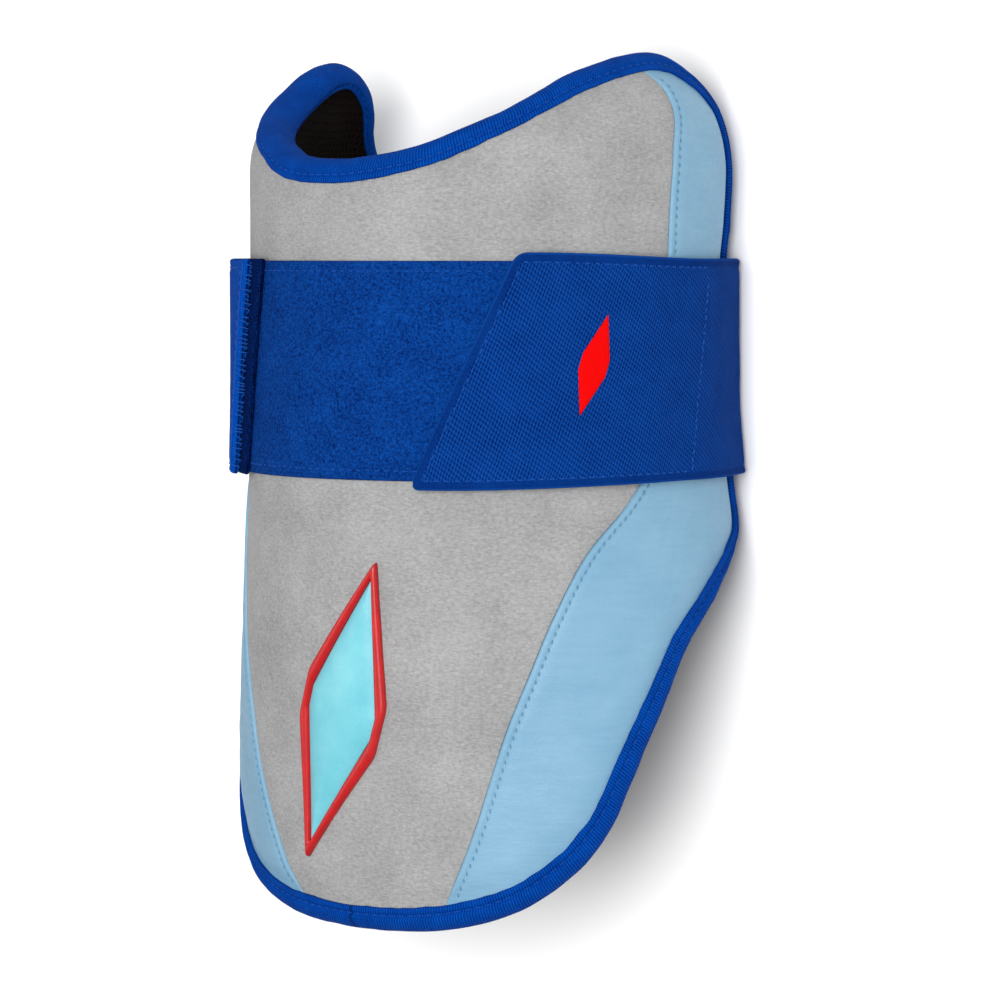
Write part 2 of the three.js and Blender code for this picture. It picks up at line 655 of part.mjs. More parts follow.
// Places a flat outline's point on the shell round a centre.
function onShell(point, centreAngle, centreAlong, lift) {
  const radius = SHELL_HALF_WIDTH * readTable(SECTIONS, 'width', centreAlong / GUARD_LENGTH);
  return surfacePoint(centreAngle + point.x / radius, centreAlong + point.y, lift);
}

function badgeBorder() {
  const outer = divided(sixSided(BADGE_LENGTH, BADGE_WIDTH, BADGE_LEAN, 0), BADGE_PARTS.border);
  const inner = divided(sixSided(BADGE_LENGTH, BADGE_WIDTH, BADGE_LEAN, BADGE_BORDER), BADGE_PARTS.border);
  const count = outer.length;
  const positions = [];
  const index = [];
  const loops = [
    [outer, CLEARANCE], [outer, CLEARANCE + BADGE_BORDER_HEIGHT],
    [inner, CLEARANCE + BADGE_BORDER_HEIGHT], [inner, CLEARANCE],
  ];
  loops.forEach(([loop, lift]) => loop.forEach((q) => {
    const p = onShell(q, 0, BADGE_CENTRE, lift);
    positions.push(p.x, p.y, p.z);
  }));
  for (let k = 0; k < loops.length; k += 1) {
    const here = k * count;
    const next = ((k + 1) % loops.length) * count;
    for (let i = 0; i < count; i += 1) {
      const j = (i + 1) % count;
      index.push(here + i, here + j, next + j, here + i, next + j, next + i);
    }
  }
  return named('badge_border', flipped(bodyFrom(positions, index)), 'red');
}

function flipped(geometry) {
  const index = geometry.getIndex().array;
  const turned = [];
  for (let i = 0; i < index.length; i += 3) turned.push(index[i], index[i + 2], index[i + 1]);
  geometry.setIndex(turned);
  geometry.computeVertexNormals();
  return geometry;
}

// A low cushion over an outline, in rings that shrink towards its centre.
function cushion(outline, centreAngle, centreAlong, lift, edgeHeight, height, rings) {
  const count = outline.length;
  const positions = [];
  const index = [];
  const put = (q, level) => {
    const p = onShell(q, centreAngle, centreAlong, level);
    positions.push(p.x, p.y, p.z);
  };
  const ringAt = (share) => outline.map((q) => ({ x: q.x * share, y: q.y * share }));
  for (let k = rings; k >= 1; k -= 1) ringAt(k / rings).forEach((q) => put(q, lift));
  for (let k = rings; k >= 1; k -= 1) {
    const crown = Math.sqrt(1 - (k / rings) ** 2);
    ringAt(k / rings).forEach((q) => put(q, lift + edgeHeight + (height - edgeHeight) * crown));
  }
  const underCentre = positions.length / 3;
  put({ x: 0, y: 0 }, lift);
  put({ x: 0, y: 0 }, lift + height);
  const overCentre = underCentre + 1;
  const ring = (k, i) => k * count + (i % count);
  for (let i = 0; i < count; i += 1) {
    for (let k = 0; k < rings - 1; k += 1) {
      const up = rings + k;
      index.push(ring(k, i), ring(k, i + 1), ring(k + 1, i + 1));
      index.push(ring(k, i), ring(k + 1, i + 1), ring(k + 1, i));
      index.push(ring(up, i), ring(up + 1, i + 1), ring(up, i + 1));
      index.push(ring(up, i), ring(up + 1, i), ring(up + 1, i + 1));
    }
    index.push(ring(rings - 1, i), ring(rings - 1, i + 1), underCentre);
    index.push(ring(2 * rings - 1, i), overCentre, ring(2 * rings - 1, i + 1));
    index.push(ring(0, i), ring(rings, i + 1), ring(0, i + 1));
    index.push(ring(0, i), ring(rings, i), ring(rings, i + 1));
  }
  return bodyFrom(positions, index);
}

function badgeFace() {
  const inset = BADGE_BORDER + CLEARANCE;
  const outline = divided(sixSided(BADGE_LENGTH, BADGE_WIDTH, BADGE_LEAN, inset), BADGE_PARTS.face);
  const heights = [BADGE_BORDER_HEIGHT * FACE_EDGE_SHARE, BADGE_HEIGHT];
  const geometry = cushion(outline, 0, BADGE_CENTRE, CLEARANCE, ...heights, BADGE_RINGS.face);
  return named('badge_face', geometry, 'cyan');
}

function strapMark() {
  const outline = divided(sixSided(MARK_LENGTH, MARK_WIDTH, MARK_LEAN, 0), BADGE_PARTS.mark);
  const lift = TAB_LIFT + STRAP_THICKNESS + CLEARANCE;
  const heights = [MARK_HEIGHT, MARK_HEIGHT];
  const geometry = cushion(outline, radians(MARK_ANGLE), MARK_CENTRE, lift, ...heights, BADGE_RINGS.mark);
  return named('strap_mark', geometry, 'red');
}

const guard = new THREE.Group();
guard.add(
  linerPad(),
  frontPanel(),
  sidePanel('side_panel_right', 1),
  sidePanel('side_panel_left', -1),
  rimBinding(),
  loopBand(),
  hookPatchTab(),
  hookPatchFar(),
  strap(),
  badgeBorder(),
  badgeFace(),
  strapMark(),
);

export default guard;
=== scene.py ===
import math

import bpy
import numpy as np
from mathutils import Matrix, Vector
from mathutils.bvhtree import BVHTree


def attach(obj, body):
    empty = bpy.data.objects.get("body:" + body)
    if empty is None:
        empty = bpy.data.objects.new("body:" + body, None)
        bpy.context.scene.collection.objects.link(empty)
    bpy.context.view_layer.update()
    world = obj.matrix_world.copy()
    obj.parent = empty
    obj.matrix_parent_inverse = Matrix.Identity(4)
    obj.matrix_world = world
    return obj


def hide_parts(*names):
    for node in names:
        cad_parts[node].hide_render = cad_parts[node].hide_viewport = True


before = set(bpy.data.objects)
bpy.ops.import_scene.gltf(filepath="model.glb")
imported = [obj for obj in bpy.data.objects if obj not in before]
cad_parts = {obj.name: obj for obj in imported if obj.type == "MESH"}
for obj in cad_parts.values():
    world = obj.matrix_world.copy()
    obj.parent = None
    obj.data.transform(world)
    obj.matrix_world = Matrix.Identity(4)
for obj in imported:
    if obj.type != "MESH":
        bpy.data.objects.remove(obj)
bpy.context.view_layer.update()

rng = np.random.default_rng(20261201)

# Shell sizes in millimetres, as the CAD source has them. Lengths are scaled to metres when meshed.
GUARD_LENGTH = 213.6
HALF_WIDTH = 61.5
CROWN_HEIGHT = 61.6
WING = math.radians(119)
CURL_START = math.radians(80)
STRAP_CENTRE = 135.8
STRAP_THICKNESS = 1.8
CLEARANCE = 0.3
CENTRE_HEIGHT = STRAP_THICKNESS + 2 * CLEARANCE - CROWN_HEIGHT * math.cos(WING)
BOUND_EDGE = 1.9
FAR_LOBE_DRAW = 0.035

# along share, width share, crown share, how far the wings' edges are drawn in
SECTIONS = np.array([
    (-0.1, 1.163, 0.86, 0), (0, 1.16, 0.875, 0), (0.128, 1.155, 0.9, 0), (0.255, 1.114, 0.942, 0),
    (0.442, 1.024, 0.99, 0.005), (0.53, 1, 0.998, 0.03), (0.62, 0.99, 1, 0.045), (0.75, 0.988, 1, 0.045),
    (0.8, 0.989, 1, 0.03), (0.86, 0.99, 0.998, 0.02), (0.89, 0.98, 0.988, 0.02), (0.92, 0.955, 0.96, 0.02),
    (0.95, 0.912, 0.916, 0.02), (0.975, 0.87, 0.875, 0.02), (1, 0.825, 0.832, 0.02), (1.1, 0.63, 0.65, 0.02),
])
# along share, angle share, far side's angle share
RIM = np.array([
    (0, 0, 0), (0.009, 0.182, 0.182), (0.035, 0.319, 0.319), (0.084, 0.434, 0.434), (0.131, 0.499, 0.499),
    (0.178, 0.547, 0.547), (0.222, 0.592, 0.592), (0.268, 0.645, 0.645), (0.318, 0.708, 0.708), (0.362, 0.797, 0.797),
    (0.404, 0.905, 0.894), (0.44, 0.985, 0.966), (0.5, 1, 1), (0.61, 1, 1), (0.72, 1, 0.983),
    (0.8, 1, 0.937), (0.85, 1, 0.908), (0.892, 1, 0.88), (0.927, 0.99, 0.855), (0.947, 0.973, 0.841),
    (0.972, 0.916, 0.807), (0.987, 0.853, 0.765), (0.997, 0.794, 0.714), (1, 0.727, 0.664), (0.996, 0.655, 0.605),
    (0.988, 0.591, 0.559), (0.97, 0.492, 0.49), (0.95, 0.42, 0.42), (0.93, 0.351, 0.347), (0.912, 0.286, 0.269),
    (0.899, 0.234, 0.214), (0.888, 0.179, 0.171), (0.88, 0.113, 0.13), (0.875, 0.046, 0.071), (0.874, 0, 0),
])
PLACES = {
    1: {"lowCorner": 10.8, "highCorner": 18.6, "seamLow": 0.95, "seamHigh": 24.0},
    -1: {"lowCorner": 10.8, "highCorner": 19.3, "seamLow": 0.62, "seamHigh": 23.4},
}
# along share, angle share, far side's angle share
SEAM = np.array([
    (0.104, 0.233, 0.199), (0.173, 0.275, 0.25), (0.241, 0.321, 0.287), (0.297, 0.367, 0.322),
    (0.363, 0.426, 0.357), (0.434, 0.505, 0.4), (0.489, 0.598, 0.44), (0.53, 0.648, 0.5),
    (0.6, 0.68, 0.59), (0.68, 0.693, 0.65), (0.762, 0.701, 0.69), (0.826, 0.706, 0.706),
    (0.884, 0.717, 0.717), (0.925, 0.736, 0.736), (0.95, 0.729, 0.735), (0.97, 0.698, 0.71),
])


def monotone(x, y, at):
    """A cubic through a table that never overshoots, going on straight beyond its ends."""
    slope = np.diff(y) / np.diff(x)
    before, after = slope[:-1], slope[1:]
    turn = before * after <= 0
    inner = np.where(turn, 0, 2 * before * after / np.where(turn, 1, before + after))
    tangent = np.concatenate([[slope[0]], inner, [slope[-1]]])
    row = np.clip(np.searchsorted(x, at, side="left") - 1, 0, len(x) - 2)
    span = x[row + 1] - x[row]
    t = (at - x[row]) / span
    rise = y[row + 1] - y[row]
    a = tangent[row] * span - rise
    b = rise - tangent[row + 1] * span
    value = y[row] + t * rise + t * (1 - t) * ((1 - t) * a + t * b)
    value = np.where(at < x[0], y[0] + (at - x[0]) * tangent[0], value)
    return np.where(at > x[-1], y[-1] + (at - x[-1]) * tangent[-1], value)


def smooth(x, low, high):
    t = np.clip((np.asarray(x, float) - low) / (high - low), 0, 1)
    return t * t * (3 - 2 * t)


def base(angle, along):
    """Points of the shell's outer surface."""
    angle, along = np.broadcast_arrays(np.asarray(angle, float), np.asarray(along, float))
    share = along / GUARD_LENGTH
    size = 1 - monotone(SECTIONS[:, 0], SECTIONS[:, 3], share) * smooth(np.abs(angle), CURL_START, WING)
    size = size - FAR_LOBE_DRAW * smooth(share, 0.88, 0.99) * smooth(-angle, 0.2, 0.9)
    width = HALF_WIDTH * monotone(SECTIONS[:, 0], SECTIONS[:, 1], share) * size
    crown = CROWN_HEIGHT * monotone(SECTIONS[:, 0], SECTIONS[:, 2], share) * size
    return np.stack([width * np.sin(angle), along - STRAP_CENTRE,
                     CENTRE_HEIGHT + crown * np.cos(angle)], -1)


def unit(v):
    return v / np.maximum(np.linalg.norm(v, axis=-1, keepdims=True), 1e-12)


def tangents(angle, along, step=1e-3):
    around = (base(angle + step, along) - base(angle - step, along)) / (2 * step)
    length = (base(angle, along + step) - base(angle, along - step)) / (2 * step)
    return around, length, unit(np.cross(around, length))


def lifted(angle, along, lift):
    normal = tangents(np.asarray(angle, float), np.asarray(along, float))[2]
    return base(angle, along) + normal * np.asarray(lift, float)[..., None]


def spline(points, closed, count):
    """Centripetal Catmull-Rom samples: count of them for each span."""
    points = np.asarray(points, float)
    n = len(points)
    if closed:
        p = points[np.arange(-1, n + 2) % n]
    else:
        p = np.vstack([2 * points[0] - points[1], points, 2 * points[-1] - points[-2]])
    spans = n if closed else n - 1
    t = np.linspace(0, 1, count, endpoint=False)[:, None]
    out = []
    for i in range(spans):
        p0, p1, p2, p3 = p[i:i + 4]
        d0, d1, d2 = (max(np.linalg.norm(b - a) ** 0.5, 1e-4) for a, b in ((p0, p1), (p1, p2), (p2, p3)))
        t1 = ((p1 - p0) / d0 - (p2 - p0) / (d0 + d1) + (p2 - p1) / d1) * d1
        t2 = ((p2 - p1) / d1 - (p3 - p1) / (d1 + d2) + (p3 - p2) / d2) * d1
        out.append(p1 + t1 * t + (3 * (p2 - p1) - 2 * t1 - t2) * t**2 + (2 * (p1 - p2) + t1 + t2) * t**3)
    out = np.vstack(out)
    return out if closed else np.vstack([out, points[-1]])


class Line:
    """A line in the plane of (angle in scaled mm, along), read by its length's share or by place."""

    def __init__(self, points, closed, count=160):
        self.closed, self.count = closed, count
        line = spline(points, closed, count)
        self.line = np.vstack([line, line[:1]]) if closed else line
        steps = np.linalg.norm(np.diff(self.line, axis=0), axis=1)
        self.at = np.concatenate([[0], np.cumsum(steps)])
        self.total = self.at[-1]

    def share(self, place):
        turns = np.floor(place * self.count / (len(self.line) - 1))
        index = place * self.count - turns * (len(self.line) - 1)
        return turns + np.interp(index, np.arange(len(self.line)), self.at) / self.total

    def point(self, share):
        share = np.asarray(share, float)
        if self.closed:
            share = share - np.floor(share)
        where = share * self.total
        flat = np.stack([np.interp(where, self.at, self.line[:, k]) for k in (0, 1)], -1)
        return flat / np.array([HALF_WIDTH, 1.0])

    def tangent(self, share, step=2e-4):
        after, before = self.point(np.asarray(share) + step), self.point(np.asarray(share) - step)
        return after - before


near = np.column_stack([RIM[:, 1] * WING * HALF_WIDTH, RIM[:, 0] * GUARD_LENGTH])
far = np.column_stack([-RIM[1:-1, 2] * WING * HALF_WIDTH, RIM[1:-1, 0] * GUARD_LENGTH])[::-1]
outline = np.vstack([near, far])
PLACE_COUNT = len(outline)
fine = spline(outline, True, 160)
ahead = unit(np.roll(fine, -1, axis=0) - np.roll(fine, 1, axis=0))[::160]
rim = Line(outline + np.column_stack([-ahead[:, 1], ahead[:, 0]]) * BOUND_EDGE, True)
rim_flat = rim.point(np.linspace(0, 1, 1600, endpoint=False))
rim_points = base(rim_flat[:, 0], rim_flat[:, 1])


def nearest(points, line):
    """Distance from each point to a dense row of points."""
    flat = points.reshape(-1, 3)
    out = np.empty(len(flat))
    for i in range(0, len(flat), 2000):
        gap = flat[i:i + 2000, None] - line[None]
        out[i:i + 2000] = np.sqrt((gap**2).sum(-1).min(1))
    return out.reshape(points.shape[:-1])


def rim_between(start, end):
    a, b = rim.share(start), rim.share(end)
    return lambda t: rim.point(a + (b - a) * np.asarray(t, float))


def length_of(line, samples=24):
    p = line(np.linspace(0, 1, samples + 1))
    return np.linalg.norm(np.diff(base(p[:, 0], p[:, 1]), axis=0), axis=1).sum()


def seam_ends(side, shift):
    found = []
    for key, sign in (("seamLow", 1), ("seamHigh", -1)):
        place = PLACES[side][key]
        per_place = length_of(rim_between(side * (place - 0.25), side * (place + 0.25))) * 2
        found.append(side * (place + sign * shift / per_place))
    return found


def seam_line(side, shift):
    low, high = (rim.point(rim.share(place)) * np.array([HALF_WIDTH, 1]) for place in seam_ends(side, shift))
    share = SEAM[:, 1] if side > 0 else SEAM[:, 2]
    middle = np.column_stack([side * (share * WING * HALF_WIDTH + shift), SEAM[:, 0] * GUARD_LENGTH])
    return Line(np.vstack([low, middle, high]), False).point


def coons(low, high, left, right):
    """Fills the plane between four lines, each from 0 to 1. u and v are grids."""
    def fill(u, v):
        u, v = np.broadcast_arrays(np.asarray(u, float), np.asarray(v, float))
        a, b = u[..., None], v[..., None]
        ruled = (1 - b) * low(u) + b * high(u) + (1 - a) * left(v) + a * right(v)
        corners = (1 - b) * ((1 - a) * low(0.0) + a * low(1.0)) + b * ((1 - a) * high(0.0) + a * high(1.0))
        return ruled - corners
    return fill


def stations(length, start, end, middle):
    """Shares of a line: at the start's distances, evenly between, and at the end's distances."""
    a = np.asarray(start) / length
    b = 1 - np.asarray(end)[::-1] / length
    between = a[-1] + (b[0] - a[-1]) * np.arange(1, middle + 1) / (middle + 1)
    return np.concatenate([a, between, b])


EDGE = (0.8, 2, 3.5, 5, 6.5, 8, 9.5, 11.5, 13.5)
LIP = (0, 0.1, 0.25, 0.5, 0.85, 1.25, 1.65, 2.0, 2.35, 2.8, 3.5, 4.5, 6)


def grid_over(fill, u_start, u_end, u_middle, v_middle):
    rows = len(EDGE) * 2 + v_middle
    columns = len(u_start) + u_middle + len(u_end)
    u = np.array([stations(length_of(lambda t: fill(t, v)), u_start, u_end, u_middle)
                  for v in np.linspace(0, 1, rows)])
    v = np.array([stations(length_of(lambda t: fill(w, t)), EDGE, EDGE, v_middle)
                  for w in np.linspace(0, 1, columns)]).T
    return fill(u, v)


def front_grid(shift, u_start=(0, 0.15, 0.4, 1, 2), u_middle=76, v_middle=110):
    a, b = seam_ends(1, shift), seam_ends(-1, shift)
    fill = coons(rim_between(b[0], a[0]), rim_between(b[1] + PLACE_COUNT, a[1]),
                 seam_line(-1, shift), seam_line(1, shift))
    return grid_over(fill, u_start, u_start, u_middle, v_middle)


SMALL_CELL = 0.01


def unfolded(grid, rounds=600, reach=4):
    """Evens a grid out round the cells that fold over. Its border and outermost rows stay."""
    flat = grid * np.array([HALF_WIDTH, 1.0])
    for _ in range(rounds):
        across = flat[:-1, 1:] - flat[:-1, :-1]
        down = flat[1:, :-1] - flat[:-1, :-1]
        area = across[..., 0] * down[..., 1] - across[..., 1] * down[..., 0]
        folded = area * np.sign(np.median(area)) < SMALL_CELL
        folded[[0, 1, -2, -1]] = False
        if not folded.any():
            break
        near = np.pad(folded, ((0, 1), (0, 1)))
        for _ in range(reach):
            wide = np.pad(near, 1)
            near = near | wide[:-2, 1:-1] | wide[2:, 1:-1] | wide[1:-1, :-2] | wide[1:-1, 2:]
        mean = (flat[:-2, 1:-1] + flat[2:, 1:-1] + flat[1:-1, :-2] + flat[1:-1, 2:]) / 4
        flat[1:-1, 1:-1] += 0.6 * near[1:-1, 1:-1, None] * (mean - flat[1:-1, 1:-1])
    return flat / np.array([HALF_WIDTH, 1.0])


def side_grid(side, shift, u_start=LIP, u_middle=26, v_middle=110):
    low, high = seam_ends(side, shift)
    place = PLACES[side]
    fill = coons(rim_between(low, side * place["lowCorner"]), rim_between(high, side * place["highCorner"]),
                 seam_line(side, shift), rim_between(side * place["lowCorner"], side * place["highCorner"]))
    grid = unfolded(grid_over(fill, u_start, EDGE, u_middle, v_middle))
    return grid if side > 0 else grid[:, ::-1]


# How a cover dips towards the rim, under the binding's leg.
def tuck(distance):
    return 1.15 * (1 - smooth(distance, 2.4, 11))


def pad_depth(distance):
    return 4.2 + 2.3 * smooth(distance, 5, 14)


materials = {}


def mesh_object(name, points, faces, attributes=()):
    mesh = bpy.data.meshes.new(name)
    mesh.from_pydata([tuple(p) for p in np.asarray(points) * 0.001], [], [tuple(map(int, f)) for f in faces])
    mesh.polygons.foreach_set("use_smooth", np.ones(len(mesh.polygons), bool))
    for key, values in attributes:
        layer = mesh.attributes.new(key, "FLOAT_VECTOR", "POINT")
        layer.data.foreach_set("vector", np.asarray(values, np.float32).ravel())
    mesh.update()
    obj = bpy.data.objects.new(name, mesh)
    bpy.context.scene.collection.objects.link(obj)
    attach(obj, "root")
    return obj


def slab_faces(rows, columns):
    """Quads of a closed body of an upper grid and a lower grid."""
    index = np.arange(rows * columns).reshape(rows, columns)
    under = index + rows * columns
    quads = [
        np.stack([index[:-1, :-1], index[:-1, 1:], index[1:, 1:], index[1:, :-1]], -1).reshape(-1, 4),
        np.stack([under[:-1, :-1], under[1:, :-1], under[1:, 1:], under[:-1, 1:]], -1).reshape(-1, 4),
        np.stack([index[:-1, 0], index[1:, 0], under[1:, 0], under[:-1, 0]], -1),
        np.stack([index[:-1, -1], under[:-1, -1], under[1:, -1], index[1:, -1]], -1),
        np.stack([index[0, :-1], under[0, :-1], under[0, 1:], index[0, 1:]], -1),
        np.stack([index[-1, :-1], index[-1, 1:], under[-1, 1:], under[-1, :-1]], -1),
    ]
    return np.vstack(quads)


def slab(name, upper, lower, st):
    rows, columns = upper.shape[:2]
    points = np.vstack([upper.reshape(-1, 3), lower.reshape(-1, 3)])
    if st.shape[-1] == 2:
        st = np.dstack([st, np.ones((rows, columns))])
    flat = np.concatenate([st.reshape(-1, 3)] * 2)
    return mesh_object(name, points, slab_faces(rows, columns), [("st", flat)])


def tube_faces(stations_count, section_count, closed_path=True):
    i = np.arange(stations_count if closed_path else stations_count - 1)
    k = np.arange(section_count)
    i, k = np.meshgrid(i, k, indexing="ij")
    here = i * section_count
    there = ((i + 1) % stations_count) * section_count
    l = (k + 1) % section_count
    return np.stack([here + k, here + l, there + l, there + k], -1).reshape(-1, 4)


def surface_st(grid):
    """Flat coordinates in mm on the shell: round it and along it."""
    width = HALF_WIDTH * monotone(SECTIONS[:, 0], SECTIONS[:, 1], grid[..., 1] / GUARD_LENGTH)
    return np.stack([grid[..., 0] * width, grid[..., 1]], -1)


# The strap's and bands' sizes
STRAP_WIDTH, TAB_WIDTH, LOOP_WIDTH = 53.0, 56.0, 52.0
LOOP_END = 88.0
LOOP_TOP = 1.5
TAB_END, TAB_SLANT, FAR_END, FAR_SLANT = 33.0, 23.0, -32.0, 11.0
HOOK_END = 72.0
RAMP = 12.0
LEAVE = 111.0
BEND = 4.5
WING_LIFT = 1.0


def soft_noise(points, scale, seed, octaves=3):
    """Smooth noise of unit size, from sums of waves in seeded directions."""
    draw = np.random.default_rng(seed)
    total = np.zeros(points.shape[:-1])
    for octave in range(octaves):
        for _ in range(7):
            way = unit(draw.normal(size=3)) * (2 * math.pi / scale) * 1.9**octave * draw.uniform(0.7, 1.4)
            total += 0.6**octave * np.sin(points @ way + draw.uniform(0, 6.28))
    return total / 3.2


def billow(points, held, pressure, cap):
    """Runs cloth on an open grid with its held points fixed, and gives how far each point moved."""
    rows, columns = points.shape[:2]
    mesh = bpy.data.meshes.new("cloth_try")
    index = np.arange(rows * columns).reshape(rows, columns)
    quads = np.stack([index[:-1, :-1], index[:-1, 1:], index[1:, 1:], index[1:, :-1]], -1).reshape(-1, 4)
    mesh.from_pydata([tuple(p) for p in points.reshape(-1, 3) * 0.001], [], [tuple(map(int, q)) for q in quads])
    obj = bpy.data.objects.new("cloth_try", mesh)
    bpy.context.scene.collection.objects.link(obj)
    group = obj.vertex_groups.new(name="held")
    for i, weight in enumerate(held.reshape(-1)):
        if weight > 0:
            group.add([i], float(weight), "REPLACE")
    cloth = obj.modifiers.new("Cloth", "CLOTH")
    settings = cloth.settings
    settings.quality = 6
    settings.mass = 0.02
    settings.tension_stiffness = settings.compression_stiffness = 12
    settings.shear_stiffness = 4
    settings.bending_stiffness = 0.05
    settings.use_pressure = True
    settings.uniform_pressure_force = pressure
    settings.vertex_group_mass = "held"
    settings.effector_weights.gravity = 0
    cloth.collision_settings.use_collision = False
    cloth.point_cache.frame_start, cloth.point_cache.frame_end = 1, 20
    scene = bpy.context.scene
    for step in range(1, 21):
        scene.frame_set(step)
    found = obj.evaluated_get(bpy.context.evaluated_depsgraph_get()).to_mesh()
    co = np.empty(len(found.vertices) * 3)
    found.vertices.foreach_get("co", co)
    moved = co.reshape(rows, columns, 3) * 1000 - points
    bpy.data.objects.remove(obj)
    scene.frame_set(1)
    size = np.linalg.norm(moved, axis=-1, keepdims=True)
    return moved * np.minimum(1, cap / np.maximum(size, 1e-9))


def upsampled(coarse, rows, columns):
    """A coarse grid of vectors read at a finer grid's places."""
    r = np.linspace(0, coarse.shape[0] - 1, rows)
    c = np.linspace(0, coarse.shape[1] - 1, columns)
    i, j = np.minimum(r.astype(int), coarse.shape[0] - 2), np.minimum(c.astype(int), coarse.shape[1] - 2)
    a, b = (r - i)[:, None, None], (c - j)[None, :, None]
    top = coarse[i][:, j] * (1 - b) + coarse[i][:, j + 1] * b
    low = coarse[i + 1][:, j] * (1 - b) + coarse[i + 1][:, j + 1] * b
    return top * (1 - a) + low * a


def under_band(grid):
    """1 where the loop band and strap hold a cover down, 0 elsewhere."""
    gap = np.abs(grid[..., 1] - STRAP_CENTRE) - STRAP_WIDTH / 2
    return 1 - smooth(gap, 1, 9)


def simulated(grid, lift, pressure, cap, free):
    """The swelling of a cover in mm along its own normal, from a cloth run on every other point."""
    coarse = grid[::2, ::2]
    start = lifted(coarse[..., 0], coarse[..., 1], lift[::2, ::2])
    held = np.where(free[::2, ::2] < 0.5, 1.0, 0.0)
    held[[0, -1]] = 1
    held[:, [0, -1]] = 1
    moved = billow(start, held, pressure, cap)
    return upsampled(moved, *grid.shape[:2]) * free[..., None]


THICK_COVER = 1.3


def cover(name, node, grid, lift, free, pressure, cap):
    swell = simulated(grid, lift, pressure, cap, free)
    normal = tangents(grid[..., 0], grid[..., 1])[2]
    rest = lifted(grid[..., 0], grid[..., 1], lift)
    outer = rest + swell
    inner = rest - normal * THICK_COVER
    obj = slab(name, outer, inner, surface_st(grid))
    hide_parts(node)
    return obj


def front_cover():
    grid = front_grid(-0.63)
    points = base(grid[..., 0], grid[..., 1])
    distance = nearest(points, rim_points)
    seams = [seam_line(side, -0.63)(np.linspace(0, 1, 1200)) for side in (1, -1)]
    seam_points = np.vstack([base(s[:, 0], s[:, 1]) for s in seams])
    gap = nearest(points, seam_points)
    lift = -tuck(distance) - 0.12 * (1 - smooth(gap, 0, 1.2)) - 0.3 * (1 - smooth(gap, 0, 0.12))
    lift += 0.12 * soft_noise(points, 55, 3) * smooth(distance, 6, 16)
    free = smooth(distance, 7, 14) * smooth(gap, 1.5, 10) * (1 - under_band(grid))
    return cover("front_cover", "front_panel", grid, lift, free, 0.5, 0.5)


def lip(gap):
    """The lift of a side cover's folded edge at a distance from that edge."""
    at = [0, 0.1, 0.25, 0.5, 0.85, 1.25, 1.65, 2.05, 2.4, 2.9, 4, 6, 9]
    up = [-0.3, 0.12, 0.36, 0.5, 0.55, 0.5, 0.36, 0.12, 0.3, 0.42, 0.45, 0.3, 0.1]
    return np.interp(gap, at, up)


def side_cover(name, side):
    grid = side_grid(side, -0.6)
    points = base(grid[..., 0], grid[..., 1])
    distance = nearest(points, rim_points)
    seam = seam_line(side, -0.6)(np.linspace(0, 1, 1500))
    gap = nearest(points, base(seam[:, 0], seam[:, 1]))
    lift = -tuck(distance) + lip(gap) * smooth(distance, 5.5, 9)
    creases = soft_noise(points * np.array([0.25, 1.6, 0.25]), 14, 11, 2)
    low = smooth(-points[..., 1], 30, 60)
    uneven = 0.1 * soft_noise(points, 40, 5) + 0.05 * creases * (0.4 + low)
    lift += uneven * smooth(distance, 6, 14) * smooth(gap, 3, 7)
    free = smooth(distance, 7, 14) * smooth(gap, 3, 9) * (1 - under_band(grid))
    return cover(name, name.replace("cover", "panel"), grid, lift, free, 0.7, 0.9)


def lining():
    middle = front_grid(0, u_start=(0,), u_middle=48, v_middle=90)
    near_side = side_grid(1, 0, u_start=(0,), u_middle=16, v_middle=90)
    far_side = side_grid(-1, 0, u_start=(0,), u_middle=16, v_middle=90)
    grid = np.hstack([far_side, middle[:, 1:], near_side[:, 1:]])
    points = base(grid[..., 0], grid[..., 1])
    distance = nearest(points, rim_points)
    outer_lift = -tuck(distance) - 2.2
    inner_lift = outer_lift - pad_depth(distance) + 0.1 * soft_noise(points, 40, 8)
    free = smooth(distance, 6, 12)
    swell = -simulated(grid[:, ::-1], inner_lift[:, ::-1], 0.6, 1.2, free[:, ::-1])[:, ::-1]
    normal = tangents(grid[..., 0], grid[..., 1])[2]
    push = -np.abs((swell * normal).sum(-1))
    outer = lifted(grid[..., 0], grid[..., 1], outer_lift)
    inner = lifted(grid[..., 0], grid[..., 1], inner_lift + push)
    obj = slab("mesh_lining", outer, inner, surface_st(grid))
    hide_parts("liner_pad")
    return obj


def rim_frames(count):
    share = np.arange(count) / count
    at = rim.point(share)
    along = rim.tangent(share)
    around, length, normal = tangents(at[:, 0], at[:, 1])
    forward = around * along[:, :1] + length * along[:, 1:]
    outward = unit(np.cross(forward, normal))
    steps = np.stack([(outward * around).sum(-1) / (around**2).sum(-1),
                      (outward * length).sum(-1) / (length**2).sum(-1)], -1)
    points = base(at[:, 0], at[:, 1])
    run = np.linalg.norm(np.diff(np.vstack([points, points[:1]]), axis=0), axis=1)
    return at, steps, np.concatenate([[0], np.cumsum(run)])[:-1]


# The binding's outline in section: out from the rim, and lift. It has a flat leg, a groove where
# the stitches pull it in, and a round roll.
GROOVE, INNER_GROOVE = -2.5, -1.7
FLAP, INNER_FLAP = 2.0, 1.1
ROLL_OUT, ROLL_MIDDLE, ROLL_HALF = 4.4, -4.55, 4.72


